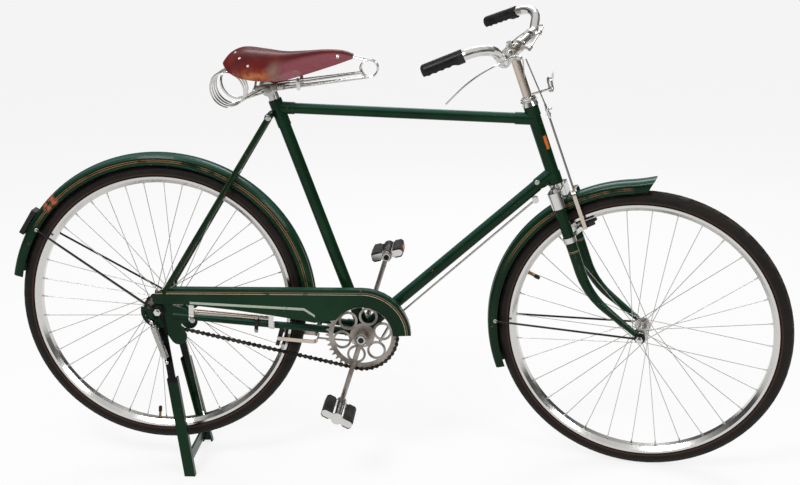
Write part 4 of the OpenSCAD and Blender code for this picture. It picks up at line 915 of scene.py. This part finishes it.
def add_saddle_wires():
    """Rear coils, rails, twin upper wires and nose coils, one set on each side."""
    rear, nose = Vector((169.9, 58, 545)), Vector((485.9, 9, 596))
    lean = Vector((-0.25, 0.95, -0.2)).normalized() * REAR_COIL_PITCH * REAR_COIL_TURNS / 2
    quarter = Matrix.Rotation(-math.pi / 2, 4, "Z")
    rear_places, nose_places, ends = [], [], []
    for s in (-1, 1):
        inner, outer = s * (rear.y - lean.y), s * (rear.y + lean.y)
        up = way(LEVEL, 0, 0, s)
        spot = at(LEVEL, rear.x - lean.x, inner, rear.z - lean.z)
        rear_places.append(framed(spot, way(LEVEL, lean.x, s * lean.y, lean.z), up) @ quarter)
        spot = at(LEVEL, nose.x, s * (nose.y - 5), nose.z)
        nose_places.append(framed(spot, way(LEVEL, 0, s, 0), up) @ quarter)
        low, high = rear.z - lean.z - REAR_COIL_R, rear.z + lean.z + REAR_COIL_R
        ends += [
            ((rear.x + 3, inner, low), (CLAMP.x, s * 25, CLAMP.z - 5)),
            ((rear.x + 22, s * rear.y, low + 5), (CLAMP.x, s * 31, CLAMP.z + 6)),
            ((CLAMP.x - 8, s * 25, CLAMP.z - 6), (nose.x, s * 9, nose.z - NOSE_COIL_R)),
            ((CLAMP.x - 8, s * 31, CLAMP.z + 5), (nose.x - 16, s * 13, nose.z - 10)),
            ((rear.x - 4, outer, high), (206, s * 66, 606)),
            ((nose.x - 4, s * 15, nose.z + NOSE_COIL_R - 0.6), (441, s * 6, 621)),
        ]
    coil = wire_coil(REAR_COIL_R, REAR_COIL_TURNS, REAR_COIL_PITCH, REAR_COIL_WIRE)
    made = finish_piece(coil, "saddle_rear_coils", "frame", rear_places)
    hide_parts("saddle_frame")
    coil = wire_coil(NOSE_COIL_R, NOSE_COIL_TURNS, NOSE_COIL_PITCH, SADDLE_WIRE)
    finish_piece(coil, "saddle_nose_coils", "frame", nose_places)
    add_rods("saddle_wire", ends, SADDLE_WIRE, CHROME, "frame", LEVEL)


def add_saddle_clamp():
    plate = flat_plate(stadium((230, 543), (290, 549), 6.5), 2.2)
    places = [aside(LEVEL, y) for y in (-34.5, 36.7)]
    finish_piece(plate, "saddle_clamp_plates", "frame", places, STEEL)
    clip = flat_plate(stadium((326, 546), (324, 566), 4.5), 2)
    finish_piece(clip, "saddle_wire_clips", "frame", [aside(LEVEL, y) for y in (-30, 32)])
    add_nuts("saddle_plate_nuts", both(LEVEL, (284, 36.7, 548), SPIN_Y), "frame", 5)
    add_nuts("saddle_clamp_nuts", both(LEVEL, (CLAMP.x, 36.7, CLAMP.z), SPIN_Y), "frame", 6.4, STEEL)


# Chain of plates and rollers on the source's pitch line
PITCH, RING_TEETH, SPROCKET_TEETH, CHAIN_Y = 12.7, 42, 18, -50
PLATE_R, PLATE_WAIST, PLATE_THICK = 4.4, 0.38, 1.2
RING_MID = Vector((BRACKET_X, -BRACKET_DROP))


def chain_points():
    ring = PITCH / (2 * math.sin(math.pi / RING_TEETH))
    sprocket = PITCH / (2 * math.sin(math.pi / SPROCKET_TEETH))
    span, tilt = RING_MID.length, math.atan2(RING_MID.y, RING_MID.x)
    wrap = math.asin((ring - sprocket) / span)
    run = math.sqrt(span**2 - (ring - sprocket) ** 2)
    ring_arc, sprocket_arc = (math.pi + 2 * wrap) * ring, (math.pi - 2 * wrap) * sprocket
    total = 2 * run + ring_arc + sprocket_arc
    count = 2 * round(total / PITCH / 2)
    up, low = tilt + math.pi / 2 + wrap, tilt - math.pi / 2 - wrap

    def turn(radius, angle):
        return Vector((radius * math.cos(angle), radius * math.sin(angle)))

    for i in range(count):
        s = total * i / count
        if s < ring_arc:
            yield RING_MID + turn(ring, up - s / ring)
        elif s < ring_arc + run:
            yield (RING_MID + turn(ring, low)).lerp(turn(sprocket, low), (s - ring_arc) / run)
        elif s < ring_arc + run + sprocket_arc:
            yield turn(sprocket, low - (s - ring_arc - run) / sprocket)
        else:
            share = (s - ring_arc - run - sprocket_arc) / run
            yield turn(sprocket, up).lerp(RING_MID + turn(ring, up), share)


def link_plate():
    """A waisted plate one pitch long, drawn from a round and given its thickness."""
    middle = PITCH * MM / 2
    piece = begin_round(12, PLATE_R)
    pick(piece, "VERT", lambda vert: vert.co.x > 0.0001)
    bpy.ops.transform.translate(value=(PITCH * MM, 0, 0))
    pick(piece, "EDGE", lambda edge: edge.calc_length() > middle)
    bpy.ops.mesh.subdivide(number_cuts=1)
    pick(piece, "VERT", lambda vert: abs(vert.co.x - middle) < 0.0025)
    bpy.ops.transform.resize(value=(1, PLATE_WAIST, 1), center_override=(middle, 0, 0))
    select_all()
    pull(0, 0, PLATE_THICK * MM)
    close_up(piece)
    return piece


def add_chain():
    points = list(chain_points())
    flat = Matrix.Rotation(math.pi / 2, 4, "X")
    for parity, (name, offsets) in enumerate((("inner", (2.3, -3.5)), ("outer", (3.7, -4.9)))):
        places = []
        for i in range(parity, len(points), 2):
            a, b = points[i], points[(i + 1) % len(points)]
            turn = Matrix.Rotation(-math.atan2(b.y - a.y, b.x - a.x), 4, "Y")
            for offset in offsets:
                spot = Vector((a.x, CHAIN_Y + offset + PLATE_THICK, a.y)) * MM
                places.append(LEVEL @ Matrix.Translation(spot) @ turn @ flat)
        name = f"chain_{name}_plates"
        finish_piece(link_plate(), name, "frame", places, CHAIN_STEEL)
    roller = ((-5.4, 1.6), (-2.3, 1.6), (-2.3, 3.6), (2.3, 3.6), (2.3, 1.6), (5.4, 1.6))
    places = [on(LEVEL, (p.x, CHAIN_Y, p.y), SPIN_Y) for p in points]
    add_turned("chain_rollers", roller, places, "frame", CHAIN_STEEL, 8)
    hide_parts("chain")


# Stand spring: a wound wire with an eye at each pin
SPRING_TOP, SPRING_LOW = (-12.07, -88, -20.4), (18.8, -88, -122.2)
SPRING_WIRE, SPRING_R, SPRING_TURNS, SPRING_EYE_R, COIL_FROM = 1.4, 7.8, 24, 5, 12


def add_stand_spring():
    top, low = at(UPRIGHT, *SPRING_TOP), at(UPRIGHT, *SPRING_LOW)
    down = (low - top).normalized()
    pitch = ((low - top).length / MM - 2 * COIL_FROM) / SPRING_TURNS
    coil = wire_coil(SPRING_R, SPRING_TURNS, pitch, SPRING_WIRE, 6, 12)
    coil_foot = framed(top + COIL_FROM * MM * down, down, SPIN_Y)
    made = [finish_piece(coil, "stand_spring_coil", None, (coil_foot,))]
    eye = begin_round(8, SPRING_WIRE, (SPRING_EYE_R * MM, 0, 0), fill="NOTHING")
    bpy.ops.mesh.spin(steps=20, angle=2 * math.pi, center=(0, 0, 0), axis=(0, 0, 1))
    close_up(eye)
    ends = [framed(top, down, SPIN_Y), framed(low, -down, SPIN_Y)]
    upright_eye = Matrix.Rotation(math.pi / 2, 4, "X")
    made.append(finish_piece(eye, "stand_spring_eyes", None, [end @ upright_eye for end in ends]))
    neck = ((SPRING_EYE_R, SPRING_WIRE), (COIL_FROM + 1, SPRING_WIRE), (COIL_FROM + 1.4, SPRING_WIRE * 0.6))
    made.append(finish_piece(turned(8, neck), "stand_spring_necks", None, ends))
    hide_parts("stand_spring")
    pin = ((-10, 3.2), (4, 3.2), (4.4, 2.6), (4.4, 4.6), (6, 4.6), (6.8, 3.6))
    for name, spot, body in (("upper", top, "frame"), ("lower", low, "stand")):
        place = facing(spot, -SPIN_Y)
        add_turned(f"stand_spring_{name}_pin", pin, [place], body, DULL_CHROME, sides=14)
    for piece in made:
        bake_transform(piece)


# Mudguards
GUARD_R, GUARD_HALF_W, GUARD_DEPTH, GUARD_SHEET, GUARD_BEAD = 376, 25.5, 27, 1.4, 2.2
GUARD_SIDE = ((0, 0), (0.1, 0), (0.2, 0.07), (0.56, 0.1), (0.8, 0.2), (0.94, 0.4), (1, 0.66), (1, 1))
TIP_DEG, TIP_SLANT, TAIL_DEG = 89.5, 2.4, 202
FLARE_FROM, FLARE_RISE = 99, 10


def guard_point(along, across):
    """Skin of the front mudguard: from the slanted tip to the rear end, and from edge to edge."""
    side = 2 * across - 1
    spot = abs(side) * (len(GUARD_SIDE) - 1)
    k = min(int(spot), len(GUARD_SIDE) - 2)
    wide, deep = Vector(GUARD_SIDE[k]).lerp(Vector(GUARD_SIDE[k + 1]), spot - k)
    tip = TIP_DEG + TIP_SLANT * deep
    deg = tip + (TAIL_DEG - tip) * along
    flare = FLARE_RISE * (max(0, FLARE_FROM - deg) / (FLARE_FROM - TIP_DEG)) ** 2
    radius = GUARD_R - deep * GUARD_DEPTH + flare
    return at(FRONT_WHEEL, *polar(radius, deg, math.copysign(wide, side) * GUARD_HALF_W))


def add_front_guard():
    middle = at(FRONT_WHEEL, 0, 0, 0)
    piece = draped(96, 28, guard_point, lambda face: face.normal.dot(face.calc_center_median() - middle))
    apply_modifier(piece, "SOLIDIFY", thickness=GUARD_SHEET * MM, offset=-1, use_even_offset=True)
    made = finish_piece(
        piece, "front_guard_sheet", "steering", finish=FRONT_GUARD_GREEN, smooth=50
    )
    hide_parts("front_mudguard")


def add_guard_beads(name, place, start, end, body):
    """The rolled edges of a mudguard: a round spun about the axle, on both sides."""
    spot = Vector(polar(GUARD_R - GUARD_DEPTH + 1, start, 0)) * MM
    bead = begin_round(10, GUARD_BEAD, spot, (0, -math.radians(start), 0))
    bpy.ops.mesh.spin(steps=90, angle=math.radians(end - start), center=(0, 0, 0), axis=(0, 1, 0))
    close_up(bead)
    places = [aside(place, s * (GUARD_HALF_W - 0.4)) for s in (-1, 1)]
    finish_piece(bead, name, body, places, GREEN)


# Handlebar, brake levers and headset
LEVER_PATH = ((-86, 282, -68), (-36, 272, -12), (38, 232, 33), (30, 60, -2))
LEVER_BENDS, LEVER_WIRE = (200, 60), 2
LEVER_CASTINGS = (
    # across, then the bar's and the lever's places ahead of and above the stem
    (62, 2.8, 2.4, 30, -2),
    (158, 11.2, 9.6, 34.6, 18),
)
HEADSET_FOOT = Vector((1082, 0, -31.5)) + 609.3 * STEER_UP
HEADSET_RINGS = (
    *((0, 14), (0, 19.2), (1.2, 20.6), (2.6, 20.6), (3.4, 19.2), (3.4, 16.6), (5.2, 16.6)),
    *((5.8, 18.6), (8.2, 18.6), (9, 17.4), (9, 15), (11.4, 15), (12, 13.6)),
)


def add_headset_rings():
    place = on(STEERED, HEADSET_FOOT, STEER_UP)
    made = finish_piece(turned(40, HEADSET_RINGS), "headset_lock_rings", "steering", (place,))
    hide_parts("headset_nuts")


def add_rod_adjuster():
    down = Vector((0.409, 0, -0.9125))
    spot = Vector((906.4, -14, 517.7))
    rings = (
        *((-9, 2.2), (-9, 4.2), (-6, 4.8), (-3, 4.2), (-3, 3.4), (3, 3.4)),
        *((3, 5), (7, 5), (8, 3.6), (13, 3.6), (15, 2.6)),
    )
    add_turned("front_rod_adjuster", rings, [on(STEERED, spot, down)], "steering")
    wing = ((0, 1.8), (5, 1.8), (6.4, 3.4), (10.4, 3.4), (11.6, 1.8))
    add_turned("front_rod_wing", wing, [on(STEERED, spot - 5 * down, (0.9, 0.2, 0.42))], "steering", sides=10)


def add_lever_castings():
    """Collars on the bar and barrels on the lever wires, joined by short arms."""
    collar = [(-9, 12.4), (-9, 14.6), (-7, 15.8), (-2, 15.8), (-1.2, 15)]
    collar += [(-height, radius) for height, radius in reversed(collar)]
    barrel = ((-9, 2.6), (-9, 3.8), (-7.6, 4.6), (7.6, 4.6), (9, 3.8), (9, 2.6))
    arm = ((0, 5.6), (4, 5), (16, 5), (20, 5.6))
    collars, barrels, arms = [], [], []
    for s in (-1, 1):
        for y, bar_x, bar_z, lever_x, lever_z in LEVER_CASTINGS:
            on_bar = STEM_AT + Vector((bar_x, s * y, bar_z))
            on_lever = STEM_AT + Vector((lever_x, s * y, lever_z))
            collars.append(on(STEERED, on_bar, (0.087, s * 0.993, 0.0745)))
            barrels.append(on(STEERED, on_lever, (0.06, s * 0.99, 0.13)))
            reach = (on_lever - on_bar).normalized()
            arms.append(on(STEERED, on_bar + 8 * reach, reach))
    add_turned("lever_collars", collar, collars, "steering", sides=28)
    add_turned("lever_barrels", barrel, barrels, "steering")
    add_turned("lever_arms", arm, arms, "steering", sides=16)


def add_lever_wires():
    for name, s in (("right_lever_wire", -1), ("left_lever_wire", 1)):
        path = [at(STEERED, STEM_AT.x + x, s * y, STEM_AT.z + z) for x, y, z in LEVER_PATH]
        made = finish_piece(bent_wire(path, LEVER_BENDS, LEVER_WIRE), name, "steering")
        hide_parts("brake_levers")


def add_lamp_tab():
    """A slotted plate on the lamp bracket's upright."""
    tab = outlined(stadium((0, -9), (0, 9), 9))
    bpy.ops.mesh.inset(thickness=5.2 * MM)
    bpy.ops.mesh.delete(type="FACE")
    select_all()
    pull(0, -2 * MM, 0)
    close_up(tab)
    foot = Matrix.Translation(Vector((906.5, 0, 579.5)) * MM)
    place = STEERED @ foot @ Matrix.Rotation(math.radians(-58), 4, "Z")
    finish_piece(tab, "lamp_tab", "steering", (place,))


# Small pieces on the frame and the cranks
AXLE_END_Y, SPINDLE_END_Y = -84, 72
BAND_SHARE, BAND_SCREW_OFF = 0.551, 17
PEDAL_MID_Y, PEDAL_TILT = 135, -15
REFLECTOR_AHEAD, REFLECTOR_SIZE = 39.2, Vector((13, 46, 2.4))


def add_chain_guard_tail():
    outline = (
        *((37, 57.4), (20, 56), (4, 52), (-8, 44), (-15, 33)),
        *((-15, 23), (-9, 17), (4, 16), (24, 17), (48, 20)),
    )
    piece, place = flat_plate(outline, 1.2), aside(LEVEL, -63.5)
    finish_piece(piece, "chain_guard_tail", "frame", (place,), CHAIN_GUARD_GREEN)


def add_crank_ends():
    """Recessed ends of the crank axle and of the left pedal's spindle, each with a black disc in its recess as
    painted shade.
    """
    ring = ((-6, 10.5), (4, 10.5), (5, 9.6), (5, 7), (1.5, 6.4), (1.5, 0.6))
    # Black disc for the floor of each recess: painted shade that darkens the hole
    shade_disc = ((1.2, 6.2), (1.9, 6.2), (2.2, 5.6))
    axle = on(LEVEL, (BRACKET_X, AXLE_END_Y, -BRACKET_DROP), -SPIN_Y)
    spindle = on(LEVEL, pedal_axis(SPINDLE_END_Y), -SPIN_Y)
    for name, place in (("crank_axle_end", axle), ("left_spindle_end", spindle)):
        add_turned(name, ring, [place], "crank", DULL_CHROME, 24)
    # The black discs are painted shade in the recesses
    add_turned("crank_end_shade_discs", shade_disc, [axle, spindle], "crank", LENS, 24)


def add_stay_band():
    """A black band with two screws round the right chain stay."""
    front, rear = Vector((484, -27, -40)), Vector((34, -62, -11))
    spot, run = front.lerp(rear, BAND_SHARE), (rear - front).normalized()
    rings = ((-4, 8), (-4, 10), (-3.4, 10.6), (3.4, 10.6), (4, 10), (4, 8))
    add_turned("stay_band", rings, [on(LEVEL, spot, run)], "frame", BLACK, 28)
    low, high = spot.z - BAND_SCREW_OFF, spot.z + BAND_SCREW_OFF
    tab = flat_plate(stadium((spot.x, low), (spot.x, high), 4.6), 2.4)
    place = aside(LEVEL, spot.y - 9.4)
    finish_piece(tab, "stay_band_tab", "frame", (place,), BLACK)
    places = [on(LEVEL, (spot.x, spot.y - 11.8, z), -SPIN_Y) for z in (low, high)]
    add_nuts("stay_band_screws", places, "frame", 3)


def add_pedal_reflectors():
    tilt = Matrix.Rotation(math.radians(PEDAL_TILT), 4, "Y")
    middle = LEVEL @ Matrix.Translation(pedal_axis(PEDAL_MID_Y) * MM) @ tilt
    places = []
    for s in (-1, 1):
        ahead = Matrix.Translation((s * REFLECTOR_AHEAD * MM, 0, 0))
        places.append(middle @ ahead @ Matrix.Rotation(s * math.pi / 2, 4, "Y"))
    piece = begin("cube", size=1, scale=REFLECTOR_SIZE * MM)
    pick(piece, "FACE", lambda face: face.calc_center_median().z > 0.001)
    bpy.ops.mesh.inset(thickness=1.2 * MM)
    bpy.ops.transform.translate(value=(0, 0, 0.8 * MM))
    close_up(piece)
    finish_piece(piece, "left_pedal_reflectors", "left_pedal", places, AMBER)


def add_hardware():
    add_nuts("seat_cluster_nuts", both(LEVEL, (255.4, 29.3, 474), SPIN_Y), "frame", 5.2)
    pinch_x, pinch_z = STEM_AT.x - 21, STEM_AT.z - 15
    add_nuts("stem_pinch_nut", [on(STEERED, (pinch_x, -14, pinch_z), -SPIN_Y)], "steering", 5)
    rings = ((-0.4, 5.4), (2.6, 5.4), (4, 4.2), (4.6, 2.2))
    add_turned("stem_pinch_bolt", rings, [on(STEERED, (pinch_x, 14, pinch_z), SPIN_Y)], "steering")
    rings = ((-1, 11.5), (2, 11.5), (2.6, 10.4), (2.6, 8.2), (9.4, 8.2), (10.4, 6.8))
    top = on(STEERED, STEM_AT + 14.5 * STEER_UP, STEER_UP)
    add_turned("stem_top_bolt", rings, [top], "steering", sides=6)
    add_nuts("guard_clip_nut", [on(LEVEL, (83.4, -72, -17), -SPIN_Y)], "frame", 5)
    add_nuts("head_lug_bolt", [on(LEVEL, (888, -20, 349), -SPIN_Y)], "frame", 4.2)
    add_nuts("rear_stay_nuts", both(LEVEL, polar(351.5, 150, 28), SPIN_Y), "frame", 3.6)
    add_nuts("front_stay_nuts", both(FRONT_WHEEL, polar(351.5, 182, 28), SPIN_Y), "steering", 3.6)
    cotters = []
    for s, deg in ((-1, CRANK_DEG + 180), (1, CRANK_DEG)):
        along = Vector(polar(1, deg, 0))
        side = Vector((-along.z, 0, along.x))
        middle = Vector((BRACKET_X, s * 77.5, -BRACKET_DROP)) + 11 * along
        cotters.append(on(LEVEL, middle - 15 * side, side))
    rings = ((-6, 2.2), (-5, 3.4), (-3, 3.4), (-3, 6), (1, 6), (1, 4.2), (27, 4.2), (30, 3.2))
    add_turned("crank_cotters", rings, cotters, "crank", DULL_CHROME, 12)


# Pale floor, studio sky and lamps
FLOOR_GLOW, SKY_STRENGTH, BACKDROP = 0.8, 0.9, (0.98, 0.98, 0.98)
SKY = ((0.0, 0.30), (0.04, 0.07), (0.36, 0.12), (0.60, 0.75), (0.85, 1.0))
LAMPS = (
    # place, size, power
    ("key", (-1.4, -2.4, 3.4), 1.4, 70),
    ("fill", (2.4, -2.6, 2.4), 1.2, 30),
    ("back", (0.2, 2.6, 2.8), 2.0, 35),
)


def add_stage():
    bpy.ops.object.select_all(action="DESELECT")
    bpy.ops.mesh.primitive_plane_add(size=80, location=(0, 0, -0.0005))
    floor = bpy.context.object
    floor.name = "floor"
    paper = Finish("pale_floor", Roughness=0.9)
    paper.set("Base Color", paper.mix(paper.noise(3, 2), (0.80, 0.80, 0.80), (0.84, 0.84, 0.84)))
    kinds = ("Camera", "Glossy", "Transmission")
    seen, mirrored, through = (paper.node("ShaderNodeLightPath", out=f"Is {kind} Ray") for kind in kinds)
    glow = paper.node("ShaderNodeEmission", {}, {"Color": (1.0, 1.0, 1.0), "Strength": 1.0})
    lit = Num(paper, paper.shader.outputs[0])
    share = paper.math("MAXIMUM", paper.math("MAXIMUM", seen, mirrored), through) * FLOOR_GLOW
    surface = paper.node("ShaderNodeMixShader", {}, {0: share, 1: lit, 2: glow})
    paper.feed(paper.tree.nodes["Material Output"].inputs["Surface"], surface)
    floor.data.materials.append(paper.material)
    world = bpy.data.worlds.new("studio")
    bpy.context.scene.world = world
    world.use_nodes = True
    sky = Shading(world.node_tree)
    generated = sky.node("ShaderNodeTexCoord", out="Generated")
    height = sky.node("ShaderNodeSeparateXYZ", {}, {0: generated}, "Z")
    stops = [(spot, (level, level, level)) for spot, level in SKY]
    color = sky.node("ShaderNodeValToRGB", {"stops": stops}, {0: height})
    seen = sky.node("ShaderNodeLightPath", out="Is Camera Ray")
    back = sky.tree.nodes["Background"]
    sky.feed(back.inputs["Color"], sky.mix(seen, color, BACKDROP))
    back.inputs["Strength"].default_value = SKY_STRENGTH
    for name, spot, size, power in LAMPS:
        data = bpy.data.lights.new(name, "AREA")
        data.shape = "DISK"
        data.size = size
        data.energy = power
        lamp = bpy.data.objects.new(name, data)
        bpy.context.scene.collection.objects.link(lamp)
        lamp.location = spot
        aim = Vector((0, 0, 0.5)) - Vector(spot)
        lamp.rotation_euler = aim.to_track_quat("-Z", "Y").to_euler()
    bpy.context.scene.view_settings.view_transform = "Standard"


CHAIN_STAY_ROD = [((84, -58.1, 0.6), (275, -43.3, -11.7))]
STEM_WIRE = [((840, -6, 634), (848, -5, 575)), ((848, -5, 575), (857, -2, 552))]

add_camera()
dress_nodes()
add_tyre("rear_tyre_tread", "rear_tyre", REAR_WHEEL, REAR_TYRE, "rear_wheel")
add_tyre("front_tyre_tread", "front_tyre", FRONT_WHEEL, FRONT_TYRE, "front_wheel")
add_nipples("rear_nipples", REAR_WHEEL, 40, 27, 27, "rear_wheel")
add_nipples("front_nipples", FRONT_WHEEL, 32, 19, 32, "front_wheel")
add_valve("rear_valve", REAR_WHEEL, 267, "rear_wheel")
add_valve("front_valve", FRONT_WHEEL, 158, "front_wheel")
add_saddle()
add_saddle_rivets()
add_chain()
add_stand_spring()
add_hardware()
add_chain_guard_tail()
add_headset_rings()
add_rod_adjuster()
add_saddle_wires()
add_saddle_clamp()
add_pedal_reflectors()
add_lever_castings()
add_lever_wires()
add_lamp_tab()
add_front_guard()
add_guard_beads("front_guard_beads", FRONT_WHEEL, 97, TAIL_DEG, "steering")
add_guard_beads("rear_guard_beads", REAR_WHEEL, -2, 171, "frame")
add_crank_ends()
add_stay_band()
# This rod's warm tone is the same painted brown reflection
add_rods("chain_stay_rod", CHAIN_STAY_ROD, 6.2, WARM_REFLECTION_CHROME, "frame", LEVEL)
add_rods("rear_brake_wire", STEM_WIRE, 1.4, DULL_CHROME, "steering", STEERED)
add_stage()
